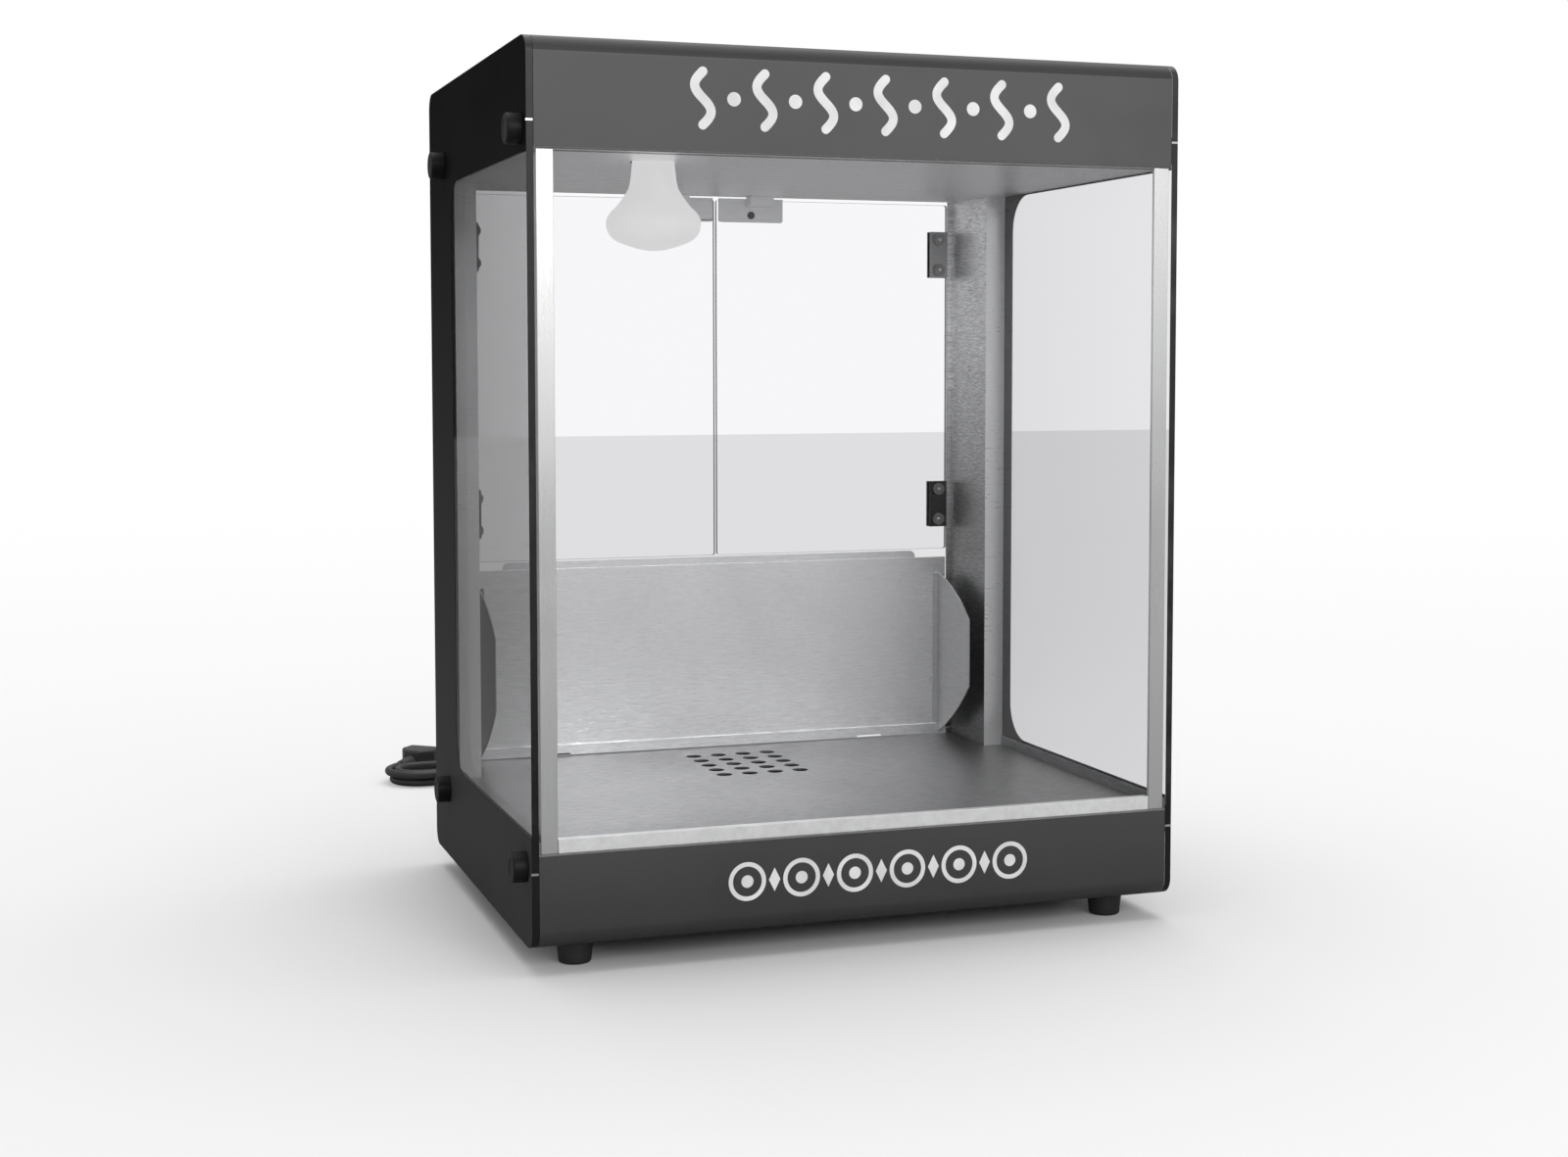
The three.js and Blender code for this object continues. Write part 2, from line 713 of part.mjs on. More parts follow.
// Points on an arc of a given radius between two places, bulging to the left of the way
function arcBetween([ax, ay], [bx, by], radius) {
  const dx = bx - ax;
  const dy = by - ay;
  const chord = Math.hypot(dx, dy);
  const rise = Math.sqrt(radius * radius - (chord * chord) / 4);
  const cx = (ax + bx) / 2 + (dy / chord) * rise;
  const cy = (ay + by) / 2 - (dx / chord) * rise;
  const from = Math.atan2(ay - cy, ax - cx);
  let sweep = Math.atan2(by - cy, bx - cx) - from;
  if (sweep > 0) sweep -= 2 * Math.PI;
  const points = [];
  for (let i = 0; i <= arcSteps; i++) {
    const angle = from + (sweep * i) / arcSteps;
    points.push([cx + radius * Math.cos(angle), cy + radius * Math.sin(angle)]);
  }
  return points;
}

// Cheek: a fan shaped side sheet bent from a flange on the panel
function flapCheek(side) {
  const nose = flapFront - cheekReach;
  const top = [flapFront, floorTop + cheekTopRise];
  const upper = arcBetween([nose, floorTop + cheekNoseTop], top, cheekUpperArc);
  const lower = arcBetween([flapFront, flapBottom], [nose, floorTop + cheekNoseBottom], cheekLowerArc);
  const shape = new THREE.Shape([...upper, ...lower].map(([y, z]) => new THREE.Vector2(y, z)));
  const [x0, x1] = spanX(side, cheekX - flapSheet, cheekX);
  const [f0, f1] = spanX(side, cheekX - cheekFlange, cheekX);
  const flange = block(f0, f1, flapFront - flapSheet, flapFront, flapBottom + hemHeight + cheekFlangeInset,
    floorTop + cheekTopRise - cheekFlangeInset);
  const hemRoom = block(x0 - overrun, x1 + overrun, flapRear - hemDepth - fit, flapRear,
    floorTop - overrun, flapBottom + hemHeight + fit);
  return cut(join(drawnX(shape, x0, x1), flange), hemRoom);
}

// Heating element: one tube bent into a narrow U and carried by a cross foot at its bend
function heatingElement() {
  const z = plateBottom + heaterRise;
  const x = heaterLength / 2;
  const y = heaterWidth / 2;
  const path = new THREE.CatmullRomCurve3([
    [-x, -y], [-x / 2, -y], [0, -y], [x - heaterBend, -y], [x, -y + heaterBend], [x, y - heaterBend],
    [x - heaterBend, y], [0, y], [-x / 2, y], [-x, y],
  ].map(([px, py]) => new THREE.Vector3(px, holeFieldY + py, z)), false, "centripetal");
  const section = new THREE.Shape();
  section.absarc(0, 0, heaterRadius, 0, 2 * Math.PI, false);
  const options = { steps: heaterSteps, extrudePath: path, curveSegments: cornerSteps };
  const tube = new THREE.ExtrudeGeometry(section, options);
  const low = plateBottom + shellSheet;
  const feet = [-x / 2, x / 2].map((px) => block(px - heaterFootLength / 2, px + heaterFootLength / 2,
    holeFieldY - y - heaterRadius, holeFieldY + y + heaterRadius, low, z));
  return join(tube, ...feet);
}

// Rocker switch: a housing through the rear wall and a rocker on a cross axis
const switchZ = plateBottom + switchRise;
const rockerY = halfDepth - rockerPivotInset;

function switchHousing() {
  const standing = (width, height, y0, y1) => block(switchX - width / 2, switchX + width / 2, y0, y1,
    switchZ - height / 2, switchZ + height / 2);
  const flange = standing(bezelWidth, bezelHeight, halfDepth, halfDepth + bezelThickness);
  const body = standing(bodyWidthOfSwitch, bodyHeightOfSwitch, halfDepth - bodyDepthOfSwitch,
    halfDepth + bezelThickness / 2);
  const well = standing(rockerWidth + 2 * rockerSideGap, 2 * (rockerHalfHeight + rockerEndGap),
    rockerY - rockerBack - rockerFloorGap, halfDepth + bezelThickness + overrun);
  return cut(join(flange, body), well);
}

function rocker() {
  const shape = new THREE.Shape();
  shape.moveTo(rockerProud, -rockerHalfHeight);
  shape.lineTo(rockerDip, 0);
  shape.lineTo(rockerProud, rockerHalfHeight);
  shape.lineTo(-rockerBack, rockerBackHalf);
  shape.lineTo(-rockerBack, -rockerBackHalf);
  shape.closePath();
  return drawnX(shape, -rockerWidth / 2, rockerWidth / 2);
}

// Strain relief of the lead, snapped into the rear wall
function cordGland() {
  const profile = [[0, -shellSheet - glandInside], [glandInsideRadius, -shellSheet - glandInside],
    [glandInsideRadius, -shellSheet - fit], [glandNeckRadius, -shellSheet - fit], [glandNeckRadius, 0],
    [glandFlangeRadius, 0], [glandFlangeRadius, glandFlangeThickness],
    [glandRootRadius, glandFlangeThickness], [glandTipRadius, glandLength], [0, glandLength]];
  return layAlongY(turned(profile, roundSides));
}

// Route of the hank: loops wind inward below, climb along a run where the spiral turns back,
// and wind outward above
const cordFloor = leadRadius;
const waistLift = tieThickness + fit;
const meanTurn = Math.PI * hankTurnRadius;
const loopLength = 2 * (hankRun + meanTurn);
const runShare = hankRun / loopLength;
const climbMiddle = 1 + runShare / 2;

function hankRadius(turn) {
  return hankTurnRadius - hankStep * Math.min(turn, 2 * climbMiddle - turn);
}

function hankHeight(turn) {
  const t = Math.min(Math.max((turn - 1) / runShare, 0), 1);
  return cordFloor + hankLayer * t * t * (3 - 2 * t);
}

// A place on the hank: turns count from the near run's right end, along -X, and clockwise round each end
function hankPoint(turn) {
  const phase = turn - Math.floor(turn);
  const r = hankRadius(turn);
  const z = hankHeight(turn);
  const half = hankRun / 2;
  const far = phase >= 0.5;
  const p = far ? phase - 0.5 : phase;
  const sign = far ? 1 : -1;
  if (p < runShare) {
    const u = half - (p / runShare) * hankRun;
    const waist = Math.cos((Math.PI * u) / hankRun) ** 2;
    return [hankX - sign * u, hankY + sign * (r - hankWaist * waist), z + waistLift * waist];
  }
  const angle = (Math.PI * (p - runShare)) / (0.5 - runShare);
  return [hankX + sign * (half + r * Math.sin(angle)), hankY + sign * r * Math.cos(angle), z];
}

const hankTurns = 2 + runShare + (0.5 - runShare) * tailTurnShare;

function hankRoute() {
  const stops = [];
  for (let loop = 0; loop < hankTurns; loop++) {
    for (const start of [loop, loop + 0.5]) {
      for (let i = 0; i < hankRunSteps; i++) stops.push(start + (runShare * i) / hankRunSteps);
      for (let i = 0; i < hankTurnSteps; i++) {
        stops.push(start + runShare + ((0.5 - runShare) * i) / hankTurnSteps);
      }
    }
  }
  const points = stops.filter((turn) => turn < hankTurns - lastStopShare).map(hankPoint);
  const end = hankPoint(hankTurns);
  points.push(end);
  points.push([end[0] + tailLength * tailWay[0], end[1] + tailLength * tailWay[1], end[2]]);
  points.unshift([points[0][0] + 2 * leadRadius, points[0][1], points[0][2]]);
  return points;
}

const tailAngle = Math.PI * (1 - tailTurnShare);
const tailWay = [Math.cos(tailAngle), Math.sin(tailAngle)];

// A tube of round section through a row of points, none of them steep
function tubeThrough(points, radius, sides) {
  const positions = [];
  const index = [];
  const at = points.map((p) => new THREE.Vector3(...p));
  const up = new THREE.Vector3(0, 0, 1);
  at.forEach((p, i) => {
    const back = i ? at[i].clone().sub(at[i - 1]).normalize() : new THREE.Vector3();
    const ahead = i < at.length - 1 ? at[i + 1].clone().sub(at[i]).normalize() : new THREE.Vector3();
    const way = back.add(ahead).normalize();
    const across = way.clone().cross(up).normalize();
    const rise = across.clone().cross(way);
    for (let k = 0; k < sides; k++) {
      const angle = (2 * Math.PI * (k + 0.5)) / sides;
      const q = p.clone().addScaledVector(across, radius * Math.cos(angle));
      q.addScaledVector(rise, radius * Math.sin(angle));
      positions.push(q.x, q.y, q.z);
    }
  });
  for (let i = 0; i < at.length - 1; i++) {
    for (let k = 0; k < sides; k++) {
      const a = i * sides + k;
      const b = i * sides + ((k + 1) % sides);
      index.push(a, b + sides, b, a, a + sides, b + sides);
    }
  }
  const last = (at.length - 1) * sides;
  for (let k = 1; k < sides - 1; k++) {
    index.push(0, k, k + 1, last, last + k + 1, last + k);
  }
  const geometry = new THREE.BufferGeometry();
  geometry.setAttribute("position", new THREE.Float32BufferAttribute(positions, 3));
  geometry.setIndex(index);
  geometry.computeVertexNormals();
  return geometry;
}

// Least gap of a tube to itself, between places further apart along it than a few diameters
function leastGap(points, radius) {
  const fine = [];
  let run = 0;
  for (let i = 0; i < points.length - 1; i++) {
    const a = new THREE.Vector3(...points[i]);
    const b = new THREE.Vector3(...points[i + 1]);
    const steps = Math.ceil(a.distanceTo(b) / radius) * 2;
    for (let k = 0; k < steps; k++) {
      fine.push([a.clone().lerp(b, k / steps), run + (a.distanceTo(b) * k) / steps]);
    }
    run += a.distanceTo(b);
  }
  let least = Infinity;
  fine.forEach(([p, s]) => fine.forEach(([q, t]) => {
    if (t - s > 6 * radius) least = Math.min(least, p.distanceTo(q) - 2 * radius);
  }));
  return [least, run];
}

// Free stretch: out of the gland, down to the floor, a sweep to the right and round into the hank
function leadRoute(start, end) {
  const points = [];
  const fall = start[2] - cordFloor;
  const dip = Math.acos(1 - fall / (2 * dropRadius));
  const half = dropRadius * Math.sin(dip);
  for (let i = 0; i <= sweepPoints; i++) {
    const a = (dip * i) / sweepPoints;
    points.push([start[0], start[1] + dropRadius * Math.sin(a), start[2] - dropRadius * (1 - Math.cos(a))]);
  }
  for (let i = sweepPoints - 1; i >= 0; i--) {
    const a = (dip * i) / sweepPoints;
    const y = start[1] + 2 * half - dropRadius * Math.sin(a);
    points.push([start[0], y, cordFloor + dropRadius * (1 - Math.cos(a))]);
  }
  const flatY = start[1] + 2 * half;
  const [turn, straight] = sweepTo(start[0], flatY, end);
  const heading = Math.PI / 2 - turn;
  for (let i = 1; i <= sweepPoints; i++) {
    const a = (turn * i) / sweepPoints;
    points.push([start[0] + sweepRadius * (1 - Math.cos(a)), flatY + sweepRadius * Math.sin(a), cordFloor]);
  }
  const from = points[points.length - 1];
  const corner = [from[0] + straight * Math.cos(heading), from[1] + straight * Math.sin(heading)];
  points.push([(from[0] + corner[0]) / 2, (from[1] + corner[1]) / 2, cordFloor]);
  const centre = [corner[0] - joinRadius * Math.sin(heading), corner[1] + joinRadius * Math.cos(heading)];
  const steps = 2 * sweepPoints;
  for (let i = 0; i <= steps; i++) {
    const a = heading - Math.PI / 2 + ((Math.PI - heading) * i) / steps;
    points.push([centre[0] + joinRadius * Math.cos(a), centre[1] + joinRadius * Math.sin(a), cordFloor]);
  }
  points.push([end[0], end[1], cordFloor]);
  return points;
}

// The sweep's angle that brings the lead in line with the hank's near run, found by halving
function sweepTo(x, y, end) {
  const reach = (turn) => {
    const heading = Math.PI / 2 - turn;
    const shift = sweepRadius * (1 - Math.cos(turn)) - joinRadius * Math.sin(heading);
    const straight = (end[0] + leadRadius - x - shift) / Math.cos(heading);
    const top = y + sweepRadius * Math.sin(turn) + straight * Math.sin(heading);
    return [straight, top + joinRadius * Math.cos(heading) + joinRadius - end[1]];
  };
  let low = Math.PI / 6;
  let high = Math.PI / 2;
  for (let i = 0; i < 40; i++) {
    const middle = (low + high) / 2;
    if (reach(middle)[1] > 0) low = middle;
    else high = middle;
  }
  return [low, reach(low)[0]];
}

function leadTube(points) {
  const through = points.map((p) => new THREE.Vector3(...p));
  const curve = new THREE.CatmullRomCurve3(through, false, "centripetal");
  const section = new THREE.Shape();
  for (let k = 0; k < leadSides; k++) {
    const a = (2 * Math.PI * k) / leadSides;
    const [u, v] = [leadRadius * Math.cos(a), leadRadius * Math.sin(a)];
    if (k) section.lineTo(u, v);
    else section.moveTo(u, v);
  }
  section.closePath();
  const steps = Math.ceil(curve.getLength() / (4 * leadRadius));
  return [new THREE.ExtrudeGeometry(section, { steps, extrudePath: curve }), curve.getLength()];
}

// Tie round the waist of the hank
function cordTie() {
  const near = hankTurnRadius - hankWaist + leadRadius + tieSideGap;
  const farRun = hankTurnRadius - hankStep * 0.5 - hankWaist + leadRadius + tieSideGap;
  const top = waistLift + hankLayer + 2 * leadRadius + fit;
  const outer = rounded(hankY - near - tieThickness, hankY + farRun + tieThickness, 0, top + tieThickness,
    [leadRadius, leadRadius, leadRadius, leadRadius]);
  const r = leadRadius - tieThickness;
  const bore = rounded(hankY - near, hankY + farRun, tieThickness, top, [r, r, r, r]);
  return cut(drawnX(outer, hankX - tieWidth / 2, hankX + tieWidth / 2),
    drawnX(bore, hankX - tieWidth / 2 - overrun, hankX + tieWidth / 2 + overrun));
}

// Plug: a tapered boot, a flat flared body and two round prongs, drawn along +X from the lead's end
function plug() {
  const boot = layAlongX(turned([[0, fit], [bootStartRadius, fit], [bootEndRadius, bootLength + plugLap],
    [0, bootLength + plugLap]], roundSides));
  const from = bootLength + plugRound;
  const face = bootLength + plugLength - plugRound;
  const rear = plugRearHalf - plugRound;
  const wide = plugFaceHalf - plugRound;
  const flare = bootLength + plugFlare;
  const corners = [[from, -rear], [flare, -wide], [face, -wide], [face, wide], [flare, wide], [from, rear]];
  const shape = new THREE.Shape(corners.map(([x, y]) => new THREE.Vector2(x, y)));
  const depth = 2 * (plugHalfHeight - plugRound);
  const body = new THREE.ExtrudeGeometry(shape, { depth, bevelEnabled: true, bevelThickness: plugRound,
    bevelSize: plugRound, bevelSegments: 3 }).translate(0, 0, -depth / 2);
  const end = bootLength + plugLength;
  const prongs = [-prongPitch / 2, prongPitch / 2].map((y) => {
    return bar("x", prongRadius, end - plugLap, end + prongLength, y, 0, smallSides);
  });
  return join(boot, body, ...prongs);
}

// The cabinet's fixed pieces
add("base_shell", baseShell(), looks.blackPaint());
add("floor_tray", floorTray(), looks.steel());
add("front_sill", frontSill(), looks.steel());
add("hood_shell", hoodShell(), looks.blackPaint());
add("ceiling_panel", ceilingPanel(), looks.steel());
add("front_glass", frontGlass(), looks.glass());
for (const [side, name] of [[-1, "left"], [1, "right"]]) {
  add("side_rail_" + name, sideRail(side), looks.steel());
  add("front_post_" + name, frontPost(side), looks.steel());
  add("rear_column_" + name, rearColumn(side), looks.steel());
  add("side_glass_" + name, sideGlass(side), looks.glass());
  add("side_print_" + name, sidePrint(side), looks.print());
  knobPlaces.forEach(([y, z], i) => {
    const mesh = add("knob_" + name + "_" + knobNames[i], knob(side), looks.plastic());
    mesh.position.set(side * halfWidth, y, z);
  });
}
const footPlaces = [[-1, -1, "front_left"], [1, -1, "front_right"], [-1, 1, "rear_left"],
  [1, 1, "rear_right"]];
for (const [x, y, name] of footPlaces) {
  add("foot_" + name, foot(), looks.rubber()).position.set(x * footX, y * footY, 0);
}

// Lamp, heating element and switch
add("lamp_holder", lampHolder(), looks.ceramic()).position.set(lampX, lampY, 0);
add("lamp_bulb", bulb(), looks.bulb()).position.set(lampX, lampY, 0);
add("heating_element", heatingElement(), looks.heater());
add("switch_housing", switchHousing(), looks.plastic());
const rockerMesh = add("switch_rocker", rocker(), looks.plastic());
rockerMesh.position.set(switchX, rockerY, switchZ);
rockerMesh.rotation.x = THREE.MathUtils.degToRad(-rockerTilt);

// Rear doors with their hinges, strikes and catches
for (const [side, name] of [[-1, "left"], [1, "right"]]) {
  add("door_glass_" + name, doorGlass(side), looks.glass());
  add("strike_plate_" + name, strikePlate(side), looks.steel());
  add("magnet_catch_" + name, magnetCatch(side), looks.magnet());
  hingeTops.forEach((top, i) => {
    const place = (i ? "lower_" : "upper_") + name;
    add("hinge_inner_plate_" + place, hingeInner(side, top), looks.darkSteel());
    add("hinge_door_leaf_" + place, hingeDoorLeaf(side, top), looks.darkSteel());
    add("hinge_frame_leaf_" + place, hingeFrameLeaf(side, top), looks.darkSteel());
  });
  add("flap_cheek_" + name, flapCheek(side), looks.steel());
}
add("flap_panel", flapPanel(), looks.steel());
add("flap_rod", flapRod(), looks.steel());

// Mains lead
const glandZ = plateBottom + glandRise;
add("cord_gland", cordGland(), looks.rubber()).position.set(glandX, halfDepth, glandZ);
const hank = hankRoute();
const leadEnd = [hank[0][0] + fit, hank[0][1], hank[0][2]];
const lead = leadRoute([glandX, halfDepth + glandLength + fit, glandZ], leadEnd);
const [leadGeometry, leadLength] = leadTube(lead);
add("cord_lead", leadGeometry, looks.rubber());
add("cord_hank", tubeThrough(hank, leadRadius, hankSides), looks.rubber());
add("cord_tie", cordTie(), looks.plastic());
const plugMesh = add("plug", plug(), looks.rubber());
const hankEnd = hank[hank.length - 1];
plugMesh.position.set(...hankEnd);
plugMesh.rotation.z = tailAngle;

const [hankGap, hankLength] = leastGap(hank, leadRadius);
console.log("hank: least gap to itself " + hankGap.toFixed(2) + " mm");
console.log("hank: length " + hankLength.toFixed(0) + " mm");
console.log("lead: free stretch " + leadLength.toFixed(0) + " mm, in " + lead.length + " points");

export default group;
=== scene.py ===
import json
from math import acos, atan2, ceil, cos, pi, radians, sin

import bmesh
import bpy
from mathutils import Matrix, Vector


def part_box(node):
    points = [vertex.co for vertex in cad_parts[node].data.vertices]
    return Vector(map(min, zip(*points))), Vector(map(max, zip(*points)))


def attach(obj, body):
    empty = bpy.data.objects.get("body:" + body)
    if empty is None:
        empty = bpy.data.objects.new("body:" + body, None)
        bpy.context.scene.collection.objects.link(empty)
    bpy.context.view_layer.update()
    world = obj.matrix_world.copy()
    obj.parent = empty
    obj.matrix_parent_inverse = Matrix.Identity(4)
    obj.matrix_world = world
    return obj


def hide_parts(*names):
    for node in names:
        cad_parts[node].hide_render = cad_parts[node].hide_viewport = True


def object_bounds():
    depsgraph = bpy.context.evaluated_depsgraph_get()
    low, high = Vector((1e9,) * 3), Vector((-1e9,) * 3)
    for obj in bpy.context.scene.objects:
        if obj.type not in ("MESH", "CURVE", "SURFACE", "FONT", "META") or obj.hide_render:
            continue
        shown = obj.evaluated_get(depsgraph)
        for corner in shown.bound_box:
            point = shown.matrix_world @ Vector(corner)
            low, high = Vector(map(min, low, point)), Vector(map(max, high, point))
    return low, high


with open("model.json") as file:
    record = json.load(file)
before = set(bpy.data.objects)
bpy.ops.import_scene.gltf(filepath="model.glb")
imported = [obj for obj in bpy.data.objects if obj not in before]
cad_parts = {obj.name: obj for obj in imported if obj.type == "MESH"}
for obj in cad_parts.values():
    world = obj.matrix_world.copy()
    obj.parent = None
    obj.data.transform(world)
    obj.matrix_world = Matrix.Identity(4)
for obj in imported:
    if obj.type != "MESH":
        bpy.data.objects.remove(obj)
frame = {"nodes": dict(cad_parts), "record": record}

MM = 0.001
cad_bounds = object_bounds()
scene = bpy.context.scene
nodes = frame["nodes"]
body_of_node = {n: b for b, ns in frame["record"]["behaviour"]["bodies"].items() for n in ns}

# Camera at the photograph's viewing angle
PHOTO_WIDTH, PHOTO_HEIGHT = 1600, 1181
FOCAL_PIXELS = 2238.03
PRINCIPAL = (811.38, 512.27)
camera_data = bpy.data.cameras.new("camera")
camera_data.sensor_fit = "HORIZONTAL"
camera_data.sensor_width = 36
camera_data.lens = camera_data.sensor_width * FOCAL_PIXELS / PHOTO_WIDTH
camera_data.shift_x = (PHOTO_WIDTH / 2 - PRINCIPAL[0]) / PHOTO_WIDTH
camera_data.shift_y = (PRINCIPAL[1] - PHOTO_HEIGHT / 2) / PHOTO_WIDTH
camera_data.clip_start, camera_data.clip_end = 0.05, 100
camera = bpy.data.objects.new("camera", camera_data)
camera.location = (-0.5244, -1.5369, 0.3933)
camera.rotation_euler = (pi / 2 - 0.063, 0.0006, -0.3342)
scene.collection.objects.link(camera)
scene.camera = camera

# Mains lead: the same route as the solids, in millimetres until it is made into a curve
LEAD_RADIUS = 3.5
LEAD_START = (-150, 209.9, 45)
DROP_RADIUS, SWEEP_RADIUS, JOIN_RADIUS, SWEEP_POINTS = 60, 60, 40, 5
HANK_X, HANK_Y, HANK_RUN, HANK_TURN_RADIUS = -116, 515, 140, 29
HANK_STEP, HANK_LAYER, HANK_WAIST, WAIST_LIFT = 8.2, 7.5, 8, 1.3
TAIL_TURN_SHARE, TAIL_LENGTH = 0.7222, 12
LOOP_LENGTH = 2 * (HANK_RUN + pi * HANK_TURN_RADIUS)
RUN_SHARE = HANK_RUN / LOOP_LENGTH
CLIMB_MIDDLE = 1 + RUN_SHARE / 2
HANK_TURNS = 2 + RUN_SHARE + (0.5 - RUN_SHARE) * TAIL_TURN_SHARE
TAIL_ANGLE = pi * (1 - TAIL_TURN_SHARE)
INSIDE_GLAND = 25


def hank_point(turn):
    phase = turn % 1
    r = HANK_TURN_RADIUS - HANK_STEP * min(turn, 2 * CLIMB_MIDDLE - turn)
    t = min(max((turn - 1) / RUN_SHARE, 0), 1)
    z = LEAD_RADIUS + HANK_LAYER * t * t * (3 - 2 * t)
    half = HANK_RUN / 2
    far = phase >= 0.5
    p = phase - 0.5 if far else phase
    sign = 1 if far else -1
    if p < RUN_SHARE:
        u = half - p / RUN_SHARE * HANK_RUN
        waist = cos(pi * u / HANK_RUN) ** 2
        return (HANK_X - sign * u, HANK_Y + sign * (r - HANK_WAIST * waist), z + WAIST_LIFT * waist)
    angle = pi * (p - RUN_SHARE) / (0.5 - RUN_SHARE)
    return (HANK_X + sign * (half + r * sin(angle)), HANK_Y + sign * r * cos(angle), z)


def hank_route(run_steps=8, turn_steps=14):
    stops = []
    for half_turn in range(6):
        start = half_turn / 2
        stops += [start + RUN_SHARE * i / run_steps for i in range(run_steps)]
        stops += [start + RUN_SHARE + (0.5 - RUN_SHARE) * i / turn_steps for i in range(turn_steps)]
    points = [hank_point(t) for t in stops if t < HANK_TURNS - 0.01] + [hank_point(HANK_TURNS)]
    end = points[-1]
    points.append((end[0] + TAIL_LENGTH * cos(TAIL_ANGLE), end[1] + TAIL_LENGTH * sin(TAIL_ANGLE), end[2]))
    return points


def sweep_to(x, y, end):
    def reach(turn):
        heading = pi / 2 - turn
        shift = SWEEP_RADIUS * (1 - cos(turn)) - JOIN_RADIUS * sin(heading)
        straight = (end[0] + LEAD_RADIUS - x - shift) / cos(heading)
        top = y + SWEEP_RADIUS * sin(turn) + straight * sin(heading)
        return straight, top + JOIN_RADIUS * cos(heading) + JOIN_RADIUS - end[1]

    low, high = pi / 6, pi / 2
    for _ in range(40):
        middle = (low + high) / 2
        if reach(middle)[1] > 0:
            low = middle
        else:
            high = middle
    return low, reach(low)[0]


def lead_route(end):
    x0, y0, z0 = LEAD_START
    floor = LEAD_RADIUS
    dip = acos(1 - (z0 - floor) / (2 * DROP_RADIUS))
    half = DROP_RADIUS * sin(dip)
    points = [(x0, y0 - INSIDE_GLAND, z0), (x0, y0 - INSIDE_GLAND / 2, z0)]
    for i in range(SWEEP_POINTS + 1):
        a = dip * i / SWEEP_POINTS
        points.append((x0, y0 + DROP_RADIUS * sin(a), z0 - DROP_RADIUS * (1 - cos(a))))
    for i in range(SWEEP_POINTS - 1, -1, -1):
        a = dip * i / SWEEP_POINTS
        points.append((x0, y0 + 2 * half - DROP_RADIUS * sin(a), floor + DROP_RADIUS * (1 - cos(a))))
    flat = y0 + 2 * half
    turn, straight = sweep_to(x0, flat, end)
    heading = pi / 2 - turn
    for i in range(1, SWEEP_POINTS + 1):
        a = turn * i / SWEEP_POINTS
        points.append((x0 + SWEEP_RADIUS * (1 - cos(a)), flat + SWEEP_RADIUS * sin(a), floor))
    corner = (points[-1][0] + straight * cos(heading), points[-1][1] + straight * sin(heading))
    points.append(((points[-1][0] + corner[0]) / 2, (points[-1][1] + corner[1]) / 2, floor))
    centre = (corner[0] - JOIN_RADIUS * sin(heading), corner[1] + JOIN_RADIUS * cos(heading))
    steps = 2 * SWEEP_POINTS
    for i in range(steps + 1):
        a = heading - pi / 2 + (pi - heading) * i / steps
        points.append((centre[0] + JOIN_RADIUS * cos(a), centre[1] + JOIN_RADIUS * sin(a), floor))
    return points


def smooth_line(points, spacing):
    """Centripetal curve through the points, as close points."""
    p = [Vector(q) for q in points]
    p = [2 * p[0] - p[1]] + p + [2 * p[-1] - p[-2]]
    out = []
    for a, b, c, d in zip(p, p[1:], p[2:], p[3:]):
        t0 = 0.0
        t1 = t0 + (b - a).length ** 0.5
        t2 = t1 + (c - b).length ** 0.5
        t3 = t2 + (d - c).length ** 0.5
        steps = max(1, ceil((c - b).length / spacing))
        for k in range(steps):
            t = t1 + (t2 - t1) * k / steps
            ab = a.lerp(b, (t - t0) / (t1 - t0))
            bc = b.lerp(c, (t - t1) / (t2 - t1))
            cd = c.lerp(d, (t - t2) / (t3 - t2))
            abc = ab.lerp(bc, (t - t0) / (t2 - t0))
            bcd = bc.lerp(cd, (t - t1) / (t3 - t1))
            out.append(abc.lerp(bcd, (t - t1) / (t2 - t1)))
    out.append(p[-2])
    return out


hank = hank_route()
route = [q * MM for q in smooth_line(lead_route(hank[0]) + hank[1:], 3)]
cord_data = bpy.data.curves.new("mains_lead", "CURVE")
cord_data.dimensions = "3D"
spline = cord_data.splines.new("POLY")
spline.points.add(len(route) - 1)
for point, q in zip(spline.points, route):
    point.co = (*q, 1)
cord_data.bevel_depth = LEAD_RADIUS * MM
cord_data.bevel_resolution = 5
cord_data.use_fill_caps = True
cord = bpy.data.objects.new("mains_lead", cord_data)
scene.collection.objects.link(cord)

